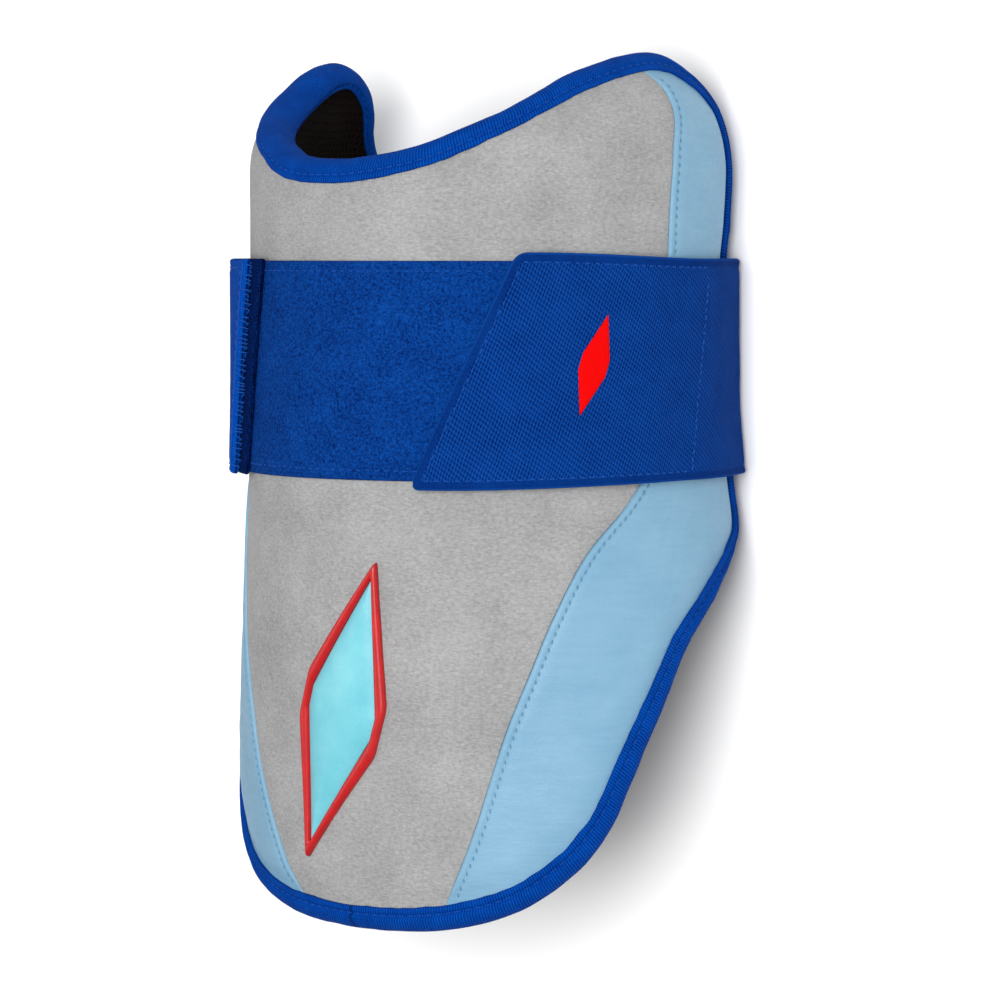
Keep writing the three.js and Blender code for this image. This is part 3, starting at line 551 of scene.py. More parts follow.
def binding_section():
    shape = ((0.97, -1.0), (1, -0.6), (0.96, -0.28), (0.85, -0.08), (0.65, 0.0), (0.4, -0.06), (0.2, -0.28),
             (0.04, -0.66), (-0.08, -0.62))
    flap = [(GROOVE - FLAP * reach, lift) for reach, lift in shape]
    inner_flap = [(INNER_GROOVE - INNER_FLAP * reach, 2 * ROLL_MIDDLE - lift) for reach, lift in shape][::-1]
    turn = np.radians(np.linspace(9, 171, 25))
    start = np.where(turn < math.pi / 2, GROOVE, INNER_GROOVE)
    roll = np.column_stack([start + (GROOVE + ROLL_OUT - start) * np.sin(turn) ** 0.95,
                            ROLL_MIDDLE + ROLL_HALF * np.cos(turn)])
    skin = np.vstack([flap, roll, inner_flap])
    core = np.array([(-2.4, 2 * ROLL_MIDDLE + 1.1), (-1.6, 2 * ROLL_MIDDLE + 1.2), (0.4, ROLL_MIDDLE - 2.9),
                     (1.1, ROLL_MIDDLE), (0.4, ROLL_MIDDLE + 2.9), (-2.5, -1.2), (-4.1, -1.1)])
    return skin, core


def rim_binding():
    skin, core = binding_section()
    section = np.vstack([skin, core])
    count = 900
    at, steps, run = rim_frames(count)
    frames_points = base(at[:, 0], at[:, 1])
    plump = 1 + 0.025 * soft_noise(frames_points, 26, 21)
    wave = 0.12 * soft_noise(frames_points, 9, 22)
    out = np.tile(section[:, 0], (count, 1))
    lift = np.tile(section[:, 1], (count, 1))
    roll = smooth(out, GROOVE, -1)
    out += (plump[:, None] - 1) * 5 * roll + wave[:, None] * (1 - roll) * (out < GROOVE - 0.5)
    lift = ROLL_MIDDLE + (lift - ROLL_MIDDLE) * (1 + (plump[:, None] - 1) * roll)
    angle = at[:, None, 0] + steps[:, None, 0] * out
    along = at[:, None, 1] + steps[:, None, 1] * out
    points = lifted(angle, along, lift)
    across = np.concatenate([[0], np.cumsum(np.linalg.norm(np.diff(section, axis=0), axis=1))])
    st = np.stack([np.repeat(run[:, None], len(section), 1), np.tile(across, (count, 1)),
                   np.ones_like(out)], -1)
    obj = mesh_object("edge_binding", points.reshape(-1, 3), tube_faces(count, len(section)),
                      [("st", st.reshape(-1, 3))])
    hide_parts("rim_binding")
    return obj


def rounded(across, width, radius):
    """1 over the middle of a strip and falling to its edges as a round edge does."""
    edge = np.minimum(across, 1 - across) * width
    q = np.clip(1 - edge / radius, 0, 1)
    return np.sqrt(np.maximum(1 - q**2, 0.0))


def across_grid(width, radius, count):
    fan = radius * (1 - np.cos(np.radians([0, 25, 45, 65, 90])))
    edge = fan / width
    middle = np.linspace(edge[-1], 1 - edge[-1], count)[1:-1]
    return np.concatenate([edge, middle, 1 - edge[::-1]])


def strip(name, width, start, end, steps, low, high, slot, wobble=0.0):
    """A band that lies on the shell between two ends (degrees, functions of the place across)."""
    thickness = high - low
    across = across_grid(width, thickness / 2, 26)
    travel = across_grid(100, thickness / 2, steps)
    a, b = np.meshgrid(across, travel, indexing="ij")
    degrees = start(a) + (end(a) - start(a)) * b
    along = STRAP_CENTRE + (a - 0.5) * width
    full = np.minimum(rounded(a, width, thickness / 2), rounded(b, 100, thickness / 2))
    middle = (low + high) / 2
    angle = np.radians(degrees)
    points = base(angle, along)
    ripple = wobble * soft_noise(points, 7, 31)
    upper = lifted(angle, along, middle + thickness / 2 * full + ripple)
    lower = lifted(angle, along, middle - thickness / 2 * full)
    st = np.stack([angle * HALF_WIDTH, (a - 0.5) * width], -1)
    return slab(name, upper, lower, st)


def tab_end(across):
    return TAB_END + TAB_SLANT * (across - 0.5)


def far_end(across):
    return FAR_END + FAR_SLANT * (across - 0.5)


def loop_band():
    obj = strip("loop_fabric", LOOP_WIDTH, lambda a: -LOOP_END + 0 * a, lambda a: LOOP_END + 0 * a, 150, 0.2,
                LOOP_TOP, "blue_loop", 0.05)
    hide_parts("loop_band")
    return obj


TAB_HOOK = (1.55, 2.5)
FAR_HOOK = (1.7, 3.2)


def hook_tapes():
    tab = strip("hook_tape_tab", STRAP_WIDTH - 4, lambda a: tab_end(a) + 2.4, lambda a: HOOK_END + 0 * a, 30,
                *TAB_HOOK, "navy_hook")
    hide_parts("hook_patch_tab")
    far = strip("hook_tape_far", STRAP_WIDTH, lambda a: -HOOK_END + 0 * a, lambda a: far_end(a) + 4.5, 40,
                *FAR_HOOK, "navy_hook", 0.06)
    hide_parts("hook_patch_far")
    return tab, far


# Lifts of the strap's inner face over the shell: over a hook tape, over the loop band, at the rim.
STRAP_LIFTS = {1: (2.6, 1.6), -1: (3.3, 1.9)}


def strap_lift(side, degrees):
    tab, band = STRAP_LIFTS[side]
    off = tab + (band - tab) * smooth(degrees, HOOK_END, HOOK_END + RAMP)
    return off + (WING_LIFT - off) * smooth(degrees, LOOP_END, LEAVE)


def corner_draw(across, width, radius=2.6):
    edge = np.minimum(across, 1 - across) * width
    q = np.clip(radius - edge, 0, radius)
    return np.degrees((radius - np.sqrt(radius**2 - q**2)) / HALF_WIDTH)


def strap_side(side, end_degrees, along, steps, bends=10):
    """Points of the strap's inner face from an end over the shell down to the flat back run."""
    # Stations stand close together at the end, where it is rounded and hemmed.
    share = np.concatenate([[0, 0.0008, 0.0025, 0.005, 0.009, 0.014, 0.02, 0.026, 0.031, 0.036, 0.044],
                            np.linspace(0.055, 1, steps)])
    degrees = end_degrees + (LEAVE - end_degrees) * share
    angle = side * np.radians(degrees)
    point = lifted(angle, np.full_like(angle, along), strap_lift(side, degrees))
    out = tangents(angle, np.full_like(angle, along))[2]
    out[:, 1] = 0
    out = unit(out)
    leave, way = point[-1], out[-1]
    down = np.array([side * way[2], 0, -abs(way[0])])
    reach = (leave[2] - STRAP_THICKNESS) / -down[2]
    turn = math.acos(-side * down[0])
    tangent = BEND * math.tan(turn / 2)
    hub = leave + down * (reach - tangent) - way * BEND
    straight = [leave + down * (reach - tangent) * q for q in (0.33, 0.66)]
    for p in straight:
        point = np.vstack([point, p])
        out = np.vstack([out, way])
    for i in range(bends + 1):
        a = turn * i / bends * side
        swung = np.array([way[0] * math.cos(a) + way[2] * math.sin(a), 0,
                          way[2] * math.cos(a) - way[0] * math.sin(a)])
        point = np.vstack([point, hub + swung * BEND])
        out = np.vstack([out, swung])
    return point, out


HEM = 2.6
SMOOTH_FROM = 250.0
FAR_LEAN = math.radians(FAR_SLANT) * (HALF_WIDTH + 2) / STRAP_WIDTH
TAB_SEAM = (84.5, 93.5)
OVERLOCK_PITCH = 1.35
OVERLOCK_REACH = 0.85


def strap():
    thickness = STRAP_THICKNESS - 0.1
    across = across_grid(STRAP_WIDTH, thickness / 2, 40)
    rows_point, rows_out, rows_end = [], [], []
    for a in across:
        along = STRAP_CENTRE + (a - 0.5) * STRAP_WIDTH
        tab_start = float(tab_end(a) + corner_draw(a, TAB_WIDTH))
        point, out = strap_side(1, tab_start, along, 64)
        far_point, far_out = strap_side(-1, float(-far_end(a)), along, 60)
        tab_y = (a - 0.5) * TAB_WIDTH
        share = smooth(1 - np.arange(len(point)) / (len(point) - 1), 0.35, 0.9)
        point[:, 1] = (along - STRAP_CENTRE) * (1 - share) + tab_y * share
        far_point[:, 1] = along - STRAP_CENTRE
        back = np.linspace(point[-1], far_point[-1], 14)[1:-1]
        all_points = np.vstack([point, back, far_point[::-1]])
        all_out = np.vstack([out, np.tile([0, 0, -1.0], (len(back), 1)), far_out[::-1]])
        rows_point.append(all_points)
        rows_out.append(all_out)
    inner = np.array(rows_point)
    out = unit(np.array(rows_out))
    step = np.linalg.norm(np.diff(inner, axis=1), axis=-1)
    run = np.concatenate([np.zeros((len(across), 1)), np.cumsum(step, axis=1)], axis=1)
    left = run[:, -1:] - run
    a = np.repeat(across[:, None], inner.shape[1], 1)
    full = np.minimum(rounded(a, STRAP_WIDTH, thickness / 2),
                      np.minimum(rounded(np.clip(run / 1000, 0, 0.5), 1000, thickness / 2),
                                 rounded(np.clip(left / 1000, 0, 0.5), 1000, thickness / 2)))
    hem = (1 - smooth(run, HEM, HEM + 0.5)) * 0.4 + (1 - smooth(left, HEM, HEM + 0.5)) * 0.3
    edge_in = np.minimum(a, 1 - a) * STRAP_WIDTH
    groove = -0.24 * np.exp(-((edge_in - 2.3) / 0.45) ** 2) - 0.35 * np.exp(-((run - HEM) / 0.4) ** 2)
    lumps = 0.06 * soft_noise(inner, 18, 41)
    upper = inner + out * (thickness / 2 + full * (thickness / 2 + hem + groove) + lumps * full)[..., None]
    lower = inner + out * (thickness / 2 * (1 - full))[..., None]
    floor_gap = 0.03
    upper[..., 2] = np.maximum(upper[..., 2], floor_gap)
    lengthwise = run + (tab_end(a) - TAB_END) * math.pi / 180 * HALF_WIDTH
    st = np.dstack([lengthwise, (a - 0.5) * STRAP_WIDTH, np.minimum(edge_in, np.minimum(run, left) * 0.93)])
    obj = slab("strap_webbing", upper[::-1], lower[::-1], st[::-1])
    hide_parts("strap")
    return obj, (a, run, left, upper)


# The badge's outline is six-sided, and its corners are a little rounded.
BADGE = {"length": 80.0, "width": 25.0, "lean": 21.0, "centre": 53.5, "border": 2.2}
MARK = {"length": 25.0, "width": 6.6, "lean": 16.0, "centre": 137.3, "angle": 61.0}


def six_sided(size, inset):
    half = size["length"] / 2 - inset * 2.2
    side = size["width"] / 2 - inset
    shoulder = 0.42 * size["length"] - inset * 0.6
    corners = np.array([(0, half), (side, half - shoulder), (side, shoulder - half), (0, -half),
                        (-side, shoulder - half), (-side, half - shoulder)])
    tilt = math.radians(size["lean"])
    turn = np.array([(math.cos(tilt), -math.sin(tilt)), (math.sin(tilt), math.cos(tilt))])
    return corners @ turn


def outline_points(corners, per_side, radius):
    """Points round a polygon whose corners are rounded."""
    out = []
    n = len(corners)
    for i in range(n):
        before, here, after = corners[i - 1], corners[i], corners[(i + 1) % n]
        a = here + unit(before - here) * radius
        b = here + unit(after - here) * radius
        for q in np.linspace(0, 1, 6):
            out.append((1 - q) ** 2 * a + 2 * q * (1 - q) * here + q**2 * b)
        c = after + unit(here - after) * radius
        for q in np.linspace(0, 1, per_side + 2)[1:-1]:
            out.append(b + (c - b) * q)
    return np.array(out)


def on_shell(flat, angle, along, lift):
    radius = HALF_WIDTH * monotone(SECTIONS[:, 0], SECTIONS[:, 1], np.array(along / GUARD_LENGTH))
    return lifted(angle + flat[..., 0] / radius, along + flat[..., 1], lift)


def cushion(name, outline, angle, along, lift_at, under, rings=14):
    """A closed body over an outline, in rings to its centre. lift_at gives the height by flat place."""
    shares = np.concatenate([[1.0], 1 - 0.5 * (1 - np.cos(np.linspace(0, math.pi, rings)[1:-1]))])
    tops = [outline * q for q in shares]
    points = np.vstack([*tops, np.zeros((1, 2))])
    heights = lift_at(points)
    count = len(outline)
    top = on_shell(points, angle, along, heights)
    low = on_shell(np.vstack([outline, np.zeros((1, 2))]), angle, along, np.full(count + 1, under))
    faces = []
    centre = len(points) - 1
    for k in range(len(shares) - 1):
        for i in range(count):
            j = (i + 1) % count
            faces.append((k * count + i, (k + 1) * count + i, (k + 1) * count + j, k * count + j))
    last = (len(shares) - 1) * count
    base_at = len(points)
    for i in range(count):
        j = (i + 1) % count
        faces.append((last + i, centre, last + j))
        faces.append((i, j, base_at + j, base_at + i))
        faces.append((base_at + i, base_at + j, base_at + count))
    st = np.column_stack([np.vstack([points, outline, np.zeros((1, 2))]), np.ones(len(points) + count + 1)])
    obj = mesh_object(name, np.vstack([top, low]), faces, [("st", st)])
    return obj


def edge_distance(points, corners):
    """How far inside a convex polygon each flat point is."""
    best = np.full(len(points), 1e9)
    n = len(corners)
    centre = corners.mean(0)
    for i in range(n):
        a, b = corners[i], corners[(i + 1) % n]
        way = unit(b - a)
        normal = np.array([-way[1], way[0]])
        if (centre - a) @ normal < 0:
            normal = -normal
        best = np.minimum(best, (points - a) @ normal)
    return best


def badge():
    width = BADGE["border"]
    rings = np.linspace(0, 1, 11)
    loops = [outline_points(six_sided(BADGE, width * q), 16, 1.6 - 0.9 * q) for q in rings]
    height = 0.25 + 1.2 * np.sqrt(np.maximum(1 - (2 * rings - 1) ** 2, 0)) ** 0.8
    points = [on_shell(loop, 0.0, BADGE["centre"], np.full(len(loop), h)) for loop, h in zip(loops, height)]
    points += [on_shell(loops[-1], 0.0, BADGE["centre"], np.full(len(loops[-1]), -0.2)),
               on_shell(loops[0], 0.0, BADGE["centre"], np.full(len(loops[0]), -0.2))]
    count = len(loops[0])
    stacked = np.vstack(points)
    faces = tube_faces(len(points), count)
    flat = np.vstack([*loops, loops[-1], loops[0]])
    border = mesh_object("badge_trim", stacked, faces[:, ::-1],
                         [("st", np.column_stack([flat, np.ones(len(flat))]))])
    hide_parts("badge_border")
    inset = width + 0.12
    corners = six_sided(BADGE, inset)
    outline = outline_points(corners, 16, 0.6)

    def height_at(points):
        inside = np.maximum(edge_distance(points, corners), 0)
        return 0.35 + 1.55 * (1 - np.exp(-inside / 2.6)) + 0.012 * inside
    face = cushion("badge_cushion", outline, 0.0, BADGE["centre"], height_at, -0.1, 26)
    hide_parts("badge_face")
    return border, face


def strap_mark():
    corners = six_sided(MARK, 0)
    outline = outline_points(corners, 6, 0.5)
    lift = STRAP_LIFTS[1][0] + STRAP_THICKNESS

    def height_at(points):
        inside = np.maximum(edge_distance(points, corners), 0)
        return lift + 0.35 * (1 - np.exp(-inside / 0.25))
    obj = cushion("tab_mark", outline, math.radians(MARK["angle"]), MARK["centre"], height_at, lift - 0.15,
                  8)
    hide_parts("strap_mark")
    return obj


class Shade:
    """A material and short ways to add its nodes. Lengths in it are millimetres."""

    def __init__(self, name, **settings):
        self.material = bpy.data.materials.new(name)
        self.material.use_nodes = True
        self.tree = self.material.node_tree
        self.shader = self.tree.nodes["Principled BSDF"]
        for key, value in settings.items():
            self.shader.inputs[key.replace("_", " ")].default_value = value
        coordinate = self.tree.nodes.new("ShaderNodeTexCoord")
        self.here = self.vector("SCALE", coordinate.outputs["Object"], scale=1000.0)
        self.st = self.node("Attribute", attribute_name="st").outputs["Vector"]
        split = self.node("SeparateXYZ", {"Vector": self.st})
        self.s, self.t, self.rim = split.outputs["X"], split.outputs["Y"], split.outputs["Z"]

    def node(self, kind, inputs=None, **settings):
        made = self.tree.nodes.new("ShaderNode" + kind)
        for key, value in settings.items():
            setattr(made, key, value)
        for key, value in (inputs or {}).items():
            self.feed(made.inputs[key], value)
        return made

    def feed(self, socket, value):
        if isinstance(value, bpy.types.NodeSocket):
            self.tree.links.new(value, socket)
        else:
            socket.default_value = value

    def math(self, operation, *values):
        return self.node("Math", dict(enumerate(values)), operation=operation).outputs[0]

    def vector(self, operation, *values, scale=None):
        made = self.node("VectorMath", dict(enumerate(values)), operation=operation)
        if scale is not None:
            made.inputs["Scale"].default_value = scale
        return made.outputs[0]

    def noise(self, size, detail=2.0, rough=0.5, stretch=(1, 1, 1)):
        at = self.vector("MULTIPLY", self.here, stretch)
        made = self.node("TexNoise", {"Vector": at, "Scale": 1 / size, "Detail": detail, "Roughness": rough})
        return made.outputs["Fac"]

    def cells(self, size, feature="F1", randomness=1.0):
        made = self.node("TexVoronoi", {"Vector": self.here, "Scale": 1 / size, "Randomness": randomness},
                         feature=feature)
        return made.outputs["Distance"]

    def fit(self, value, low, high, to_low=0.0, to_high=1.0):
        made = self.node("MapRange", {"Value": value, "From Min": low, "From Max": high, "To Min": to_low,
                                      "To Max": to_high})
        return made.outputs["Result"]

    def blend(self, share, a, b):
        made = self.node("Mix", data_type="RGBA")
        for index, value in ((0, share), (6, a), (7, b)):
            self.feed(made.inputs[index], value)
        return made.outputs[2]

    def mixed(self, *parts):
        """A weighted sum of values, each given as (value, weight)."""
        total = 0.0
        for value, weight in parts:
            total = self.math("MULTIPLY_ADD", value, weight, total)
        return total

    def colour(self, value):
        self.feed(self.shader.inputs["Base Color"], value)

    def bump(self, height, depth, strength=1.0):
        made = self.node("Bump", {"Height": height, "Distance": depth * 0.001, "Strength": strength})
        previous = self.shader.inputs["Normal"].links
        if previous:
            self.feed(made.inputs["Normal"], previous[0].from_socket)
        self.feed(self.shader.inputs["Normal"], made.outputs["Normal"])


def rgb(red, green, blue, share=0.68):
    """A base colour for how it is to look in this light, in screen values of 0 to 255."""
    linear = [((c / 255 + 0.055) / 1.055) ** 2.4 if c > 10 else c / 255 / 12.92 for c in (red, green, blue)]
    return tuple(share * c for c in linear) + (1,)


def grey_suede():
    m = Shade("grey_suede", Roughness=0.9, Sheen_Weight=0.08, Sheen_Roughness=0.5, Specular_IOR_Level=0.15)
    cloud = m.noise(15, 2)
    speck = m.noise(0.9, 2, 0.6)
    grain = m.noise(0.5, 3, 0.65, (0.4, 1.3, 0.4))
    tone = m.mixed((cloud, 0.45), (speck, 0.55), (grain, 0.8))
    m.colour(m.blend(m.fit(tone, 0.66, 1.14), rgb(152, 152, 152), rgb(191, 191, 191)))
    m.bump(m.mixed((grain, 0.8), (speck, 0.4)), 0.3, 0.6)
    m.bump(m.noise(2.2, 3, 0.6, (0.3, 1.5, 0.3)), 0.45, 0.22)
    return m.material


def light_blue_leather():
    m = Shade("light_blue_leather", Roughness=0.5, Specular_IOR_Level=0.35)
    cloud = m.noise(16, 2)
    crease = m.noise(2.2, 4, 0.6, (0.22, 1.5, 0.22))
    pebble = m.cells(0.55, "DISTANCE_TO_EDGE")
    pores = m.noise(0.3, 2)
    tone = m.mixed((cloud, 0.5), (crease, 0.35), (pores, 0.25))
    m.colour(m.blend(m.fit(tone, 0.4, 0.7), rgb(128, 179, 211), rgb(143, 191, 220)))
    m.bump(m.fit(pebble, 0, 0.12), 0.06, 0.5)
    m.bump(crease, 0.55, 0.32)
    m.feed(m.shader.inputs["Roughness"], m.fit(m.noise(1.2, 2), 0.3, 0.7, 0.42, 0.58))
    return m.material


def blue_binding():
    m = Shade("blue_binding", Roughness=0.8, Specular_IOR_Level=0.03)
    slant = m.mixed((m.s, 1.0), (m.t, 0.15), (m.noise(6, 1), 0.5))
    rib = m.math("SINE", m.math("MULTIPLY", slant, 2 * math.pi / 0.74))
    cross = m.math("SINE", m.math("MULTIPLY", m.t, 2 * math.pi / 0.5))
    fuzz = m.noise(0.28, 3, 0.7)
    tone = m.mixed((rib, 0.2), (fuzz, 0.7), (m.noise(5, 2), 0.3), (cross, 0.04))
    m.colour(m.blend(m.fit(tone, 0.2, 0.8), rgb(0, 40, 120), rgb(2, 90, 202)))
    m.bump(m.mixed((rib, 0.6), (cross, 0.12), (fuzz, 0.4)), 0.16, 0.85)
    return m.material


def blue_loop():
    m = Shade("blue_loop", Roughness=0.95, Specular_IOR_Level=0.04)
    speck = m.noise(0.65, 2, 0.6)
    tuft = m.noise(0.3, 2, 0.7)
    cloud = m.noise(9, 2)
    tone = m.mixed((speck, 1.0), (tuft, 0.7), (cloud, 0.25))
    m.colour(m.blend(m.fit(tone, 0.72, 1.23), rgb(0, 30, 98), rgb(12, 82, 176)))
    m.bump(m.mixed((speck, 0.6), (tuft, 0.5)), 0.5, 0.8)
    return m.material


WEAVE_SLANT = math.radians(37)
WEAVE_ROW = 1.02
WEAVE_FLOAT = 0.76


def weave(m, border):
    """Slanted rows of short threads with dark dots between, and a plain border that is lighter at its very edge, a
    painted highlight. 0 to 1.
    """
    along = m.mixed((m.s, math.cos(WEAVE_SLANT)), (m.t, -math.sin(WEAVE_SLANT)), (m.noise(7, 1), 0.8))
    over = m.mixed((m.s, math.sin(WEAVE_SLANT)), (m.t, math.cos(WEAVE_SLANT)), (m.noise(9, 1), 0.8))
    rows = m.math("SINE", m.math("MULTIPLY", over, 2 * math.pi / WEAVE_ROW))
    floats = m.math("SINE", m.math("MULTIPLY", m.mixed((along, 1.0), (over, 0.3)), 2 * math.pi / WEAVE_FLOAT))
    patchy = m.fit(m.noise(3.5, 2), 0.35, 0.65, 0.24, 0.42)
    grains = m.mixed((rows, 0.24), (m.math("MULTIPLY", floats, patchy), 1.0), (m.noise(0.3, 2, 0.6), 0.9),
                     (0.13, 1.0))
    edge = m.math("LESS_THAN", m.rim, border)
    # Painted highlight: the plain border grows lighter within 0.6 mm of the strap's edge, where its rounded edge
    # would catch the light.
    light = m.fit(m.rim, 0.25, 0.6, 0.75, 0.0)
    plain = m.mixed((m.noise(0.45, 3, 0.7), 0.7), (light, 1.0), (-0.02, 1.0))
    inside = m.math("MULTIPLY", grains, m.math("SUBTRACT", 1.0, edge))
    return m.math("ADD", inside, m.math("MULTIPLY", plain, edge))


def blue_elastic():
    m = Shade("blue_elastic", Roughness=0.8, Specular_IOR_Level=0.02)
    pattern = weave(m, 1.9)
    tone = m.mixed((pattern, 1.0), (m.noise(0.3, 2, 0.6), 0.4), (m.noise(8, 2), 0.35))
    woven = m.blend(m.fit(tone, 0.4, 1.3), rgb(0, 28, 96), rgb(14, 78, 170))
    # Past the seam the far end is plain smooth cloth. Its blue is brighter than the weave's: painted light, as if
    # that face were lit more.
    smooth_end_painted_light = m.blend(m.fit(m.noise(0.6, 3, 0.6), 0.3, 0.7), rgb(0, 60, 156), rgb(0, 88, 196))
    past_seam = m.math("GREATER_THAN", m.mixed((m.s, 1.0), (m.t, -FAR_LEAN)), SMOOTH_FROM)
    m.colour(m.blend(past_seam, woven, smooth_end_painted_light))
    m.bump(m.mixed((pattern, 1.0), (m.noise(0.25, 2), 0.25)), 0.26, 0.8)
    return m.material


def navy_hook():
    m = Shade("navy_hook", Roughness=0.9, Specular_IOR_Level=0.02)
    hooks = m.cells(0.55, randomness=0.5)
    fuzz = m.noise(0.4, 3, 0.7)
    m.colour(m.blend(m.fit(m.mixed((hooks, 0.8), (fuzz, 0.8)), 0.5, 1.1), rgb(0, 12, 46), rgb(6, 44, 118)))
    m.bump(m.mixed((hooks, -0.8), (fuzz, 0.6)), 0.5, 0.9)
    return m.material


def lining_mesh():
    m = Shade("lining_mesh", Roughness=0.9, Specular_IOR_Level=0.08)
    row = m.math("DIVIDE", m.t, 2.1)
    shift = m.math("MULTIPLY", m.math("FLOOR", row), 0.5)
    column = m.math("ADD", m.math("DIVIDE", m.s, 1.9), shift)
    u = m.math("SUBTRACT", m.math("FRACT", column), 0.5)
    v = m.math("SUBTRACT", m.math("FRACT", row), 0.5)
    tall = m.math("MULTIPLY", v, m.math("MULTIPLY", v, 1.6))
    gap = m.math("SQRT", m.math("ADD", m.math("MULTIPLY", u, u), tall))
    hole = m.fit(gap, 0.2, 0.33, 1.0, 0.0)
    knit = m.noise(0.4, 2, 0.6, (1, 2, 1))
    rows = m.math("ABSOLUTE", m.math("SINE", m.math("MULTIPLY", row, math.pi)))
    shade = m.mixed((knit, 0.6), (rows, 0.25), (m.noise(12, 2), 0.3))
    fabric = m.blend(m.fit(shade, 0.3, 0.85), rgb(15, 9, 8), rgb(36, 25, 23))
    m.colour(m.blend(hole, fabric, rgb(2, 1, 1)))
    m.bump(m.mixed((hole, -1.0), (rows, 0.25), (knit, 0.2)), 0.6, 0.9)
    return m.material


def red_trim():
    m = Shade("red_trim", Roughness=0.42, Specular_IOR_Level=0.45, Coat_Weight=0.1)
    tone = m.mixed((m.noise(5, 2), 0.6), (m.noise(0.5, 2), 0.4))
    m.colour(m.blend(m.fit(tone, 0.3, 0.7), rgb(190, 10, 16), rgb(226, 16, 22)))
    m.bump(m.noise(0.5, 3), 0.05, 0.5)
    return m.material


def cyan_patch():
    m = Shade("cyan_patch", Roughness=0.4, Specular_IOR_Level=0.4)
    tone = m.mixed((m.noise(9, 2), 0.7), (m.noise(0.6, 2), 0.3))
    m.colour(m.blend(m.fit(tone, 0.3, 0.7), rgb(112, 208, 226), rgb(142, 228, 240)))
    m.bump(m.noise(0.4, 3, 0.6), 0.05, 0.5)
    m.bump(m.noise(3, 2), 0.2, 0.2)
    return m.material


def red_print():
    m = Shade("red_print", Roughness=0.7, Specular_IOR_Level=0.05)
    rows = m.math("SINE", m.math("MULTIPLY", m.mixed((m.s, 1.0), (m.t, 0.35)), 2 * math.pi / 0.45))
    tone = m.mixed((rows, 0.1), (m.noise(0.4, 2), 0.6))
    m.colour(m.blend(m.fit(tone, 0.1, 0.6), rgb(246, 0, 0), rgb(255, 0, 0)))
    m.bump(m.mixed((rows, 0.5), (m.noise(0.3, 2), 0.4)), 0.07, 0.6)
    return m.material


def thread(name, dark, light):
    m = Shade(name, Roughness=0.6, Specular_IOR_Level=0.12)
    twist = m.math("SINE", m.math("MULTIPLY", m.mixed((m.s, 1.0), (m.t, 0.6)), 2 * math.pi / 0.3))
    m.colour(m.blend(m.fit(m.mixed((twist, 0.3), (m.noise(0.3, 2), 0.6)), 0.1, 0.7), dark, light))
    m.bump(m.mixed((twist, 0.5), (m.noise(0.15, 2), 0.3)), 0.06, 0.7)
    return m.material


def floor_material():
    m = Shade("studio_floor", Roughness=0.7, Specular_IOR_Level=0.15)
    m.colour(m.blend(m.fit(m.noise(400, 2), 0.3, 0.7), rgb(248, 248, 248, 1), rgb(252, 252, 252, 1)))
    return m.material


def paint(obj, material):
    obj.data.materials.clear()
    obj.data.materials.append(material)


def dropped(obj, points, ways, reach=9.0):
    """Where lines that come down onto a piece meet it. ways point out of the piece."""
    tree = BVHTree.FromPolygons([v.co for v in obj.data.vertices], [p.vertices for p in obj.data.polygons])
    hits, found = [], []
    for p, way in zip(points, ways):
        start = Vector((p + way * reach) * 0.001)
        hit = tree.ray_cast(start, Vector(-way))[0]
        found.append(hit is not None)
        hits.append(np.array(hit) * 1000 if hit else p)
    return np.array(hits), np.array(found)


def even(points, *others, step=0.5):
    """The same line at an even step, with what else belongs to its points."""
    run = np.concatenate([[0], np.cumsum(np.linalg.norm(np.diff(points, axis=0), axis=1))])
    at = np.arange(0, run[-1], step)
    return [np.stack([np.interp(at, run, values[:, k]) for k in range(3)], -1) for values in (points, *others)]


def stitch_row(points, normals, pitch, length, radius, skew=0.0, sink=0.3, step=0.1):
    """Threads of a row of stitches: points and faces of short arcs that dive into the surface."""
    points, normals = even(points, normals, step=step)
    made_points, made_st, made_faces = [], [], []
    half = length / 2
    bends = np.linspace(-1, 1, 7)
    turns = np.linspace(0, 2 * math.pi, 6, endpoint=False)
    start = 0
    count = int(len(points) * step / pitch)
    for i in range(count):
        middle = (i + 0.5) * pitch / step
        k = min(int(middle), len(points) - 2)
        along = unit(points[min(k + 2, len(points) - 1)] - points[max(k - 2, 0)])
        normal = unit(normals[k])
        side = unit(np.cross(normal, along))
        angle = skew + rng.normal(0, 0.05)
        way = along * math.cos(angle) + side * math.sin(angle)
        across = np.cross(normal, way)
        size = half * rng.uniform(0.92, 1.06)
        for b in bends:
            height = radius * 0.75 - (radius + sink) * abs(b) ** 3
            centre = points[k] + way * size * b + normal * height
            thin = radius * (1 - 0.25 * abs(b) ** 2)
            ring = centre + thin * (np.cos(turns)[:, None] * across + np.sin(turns)[:, None] * normal)
            made_points.append(ring)
            made_st.append(np.column_stack([np.full(6, size * b), turns * radius, np.ones(6)]))
        first = start
        for r in range(len(bends) - 1):
            for q in range(6):
                w = (q + 1) % 6
                at = first + r * 6
                made_faces.append((at + q, at + w, at + 6 + w, at + 6 + q))
        made_faces.append(tuple(first + q for q in range(5, -1, -1)))
        made_faces.append(tuple(first + 36 + q for q in range(6)))
        start += len(bends) * 6
    return np.vstack(made_points), made_faces, np.vstack(made_st)


def thread_piece(name, rows, material):
    points, faces, st = [], [], []
    start = 0
    for row_points, row_faces, row_st in rows:
        points.append(row_points)
        st.append(row_st)
        faces += [tuple(i + start for i in face) for face in row_faces]
        start += len(row_points)
    obj = mesh_object(name, np.vstack(points), faces, [("st", np.vstack(st))])
    paint(obj, material)
    return obj


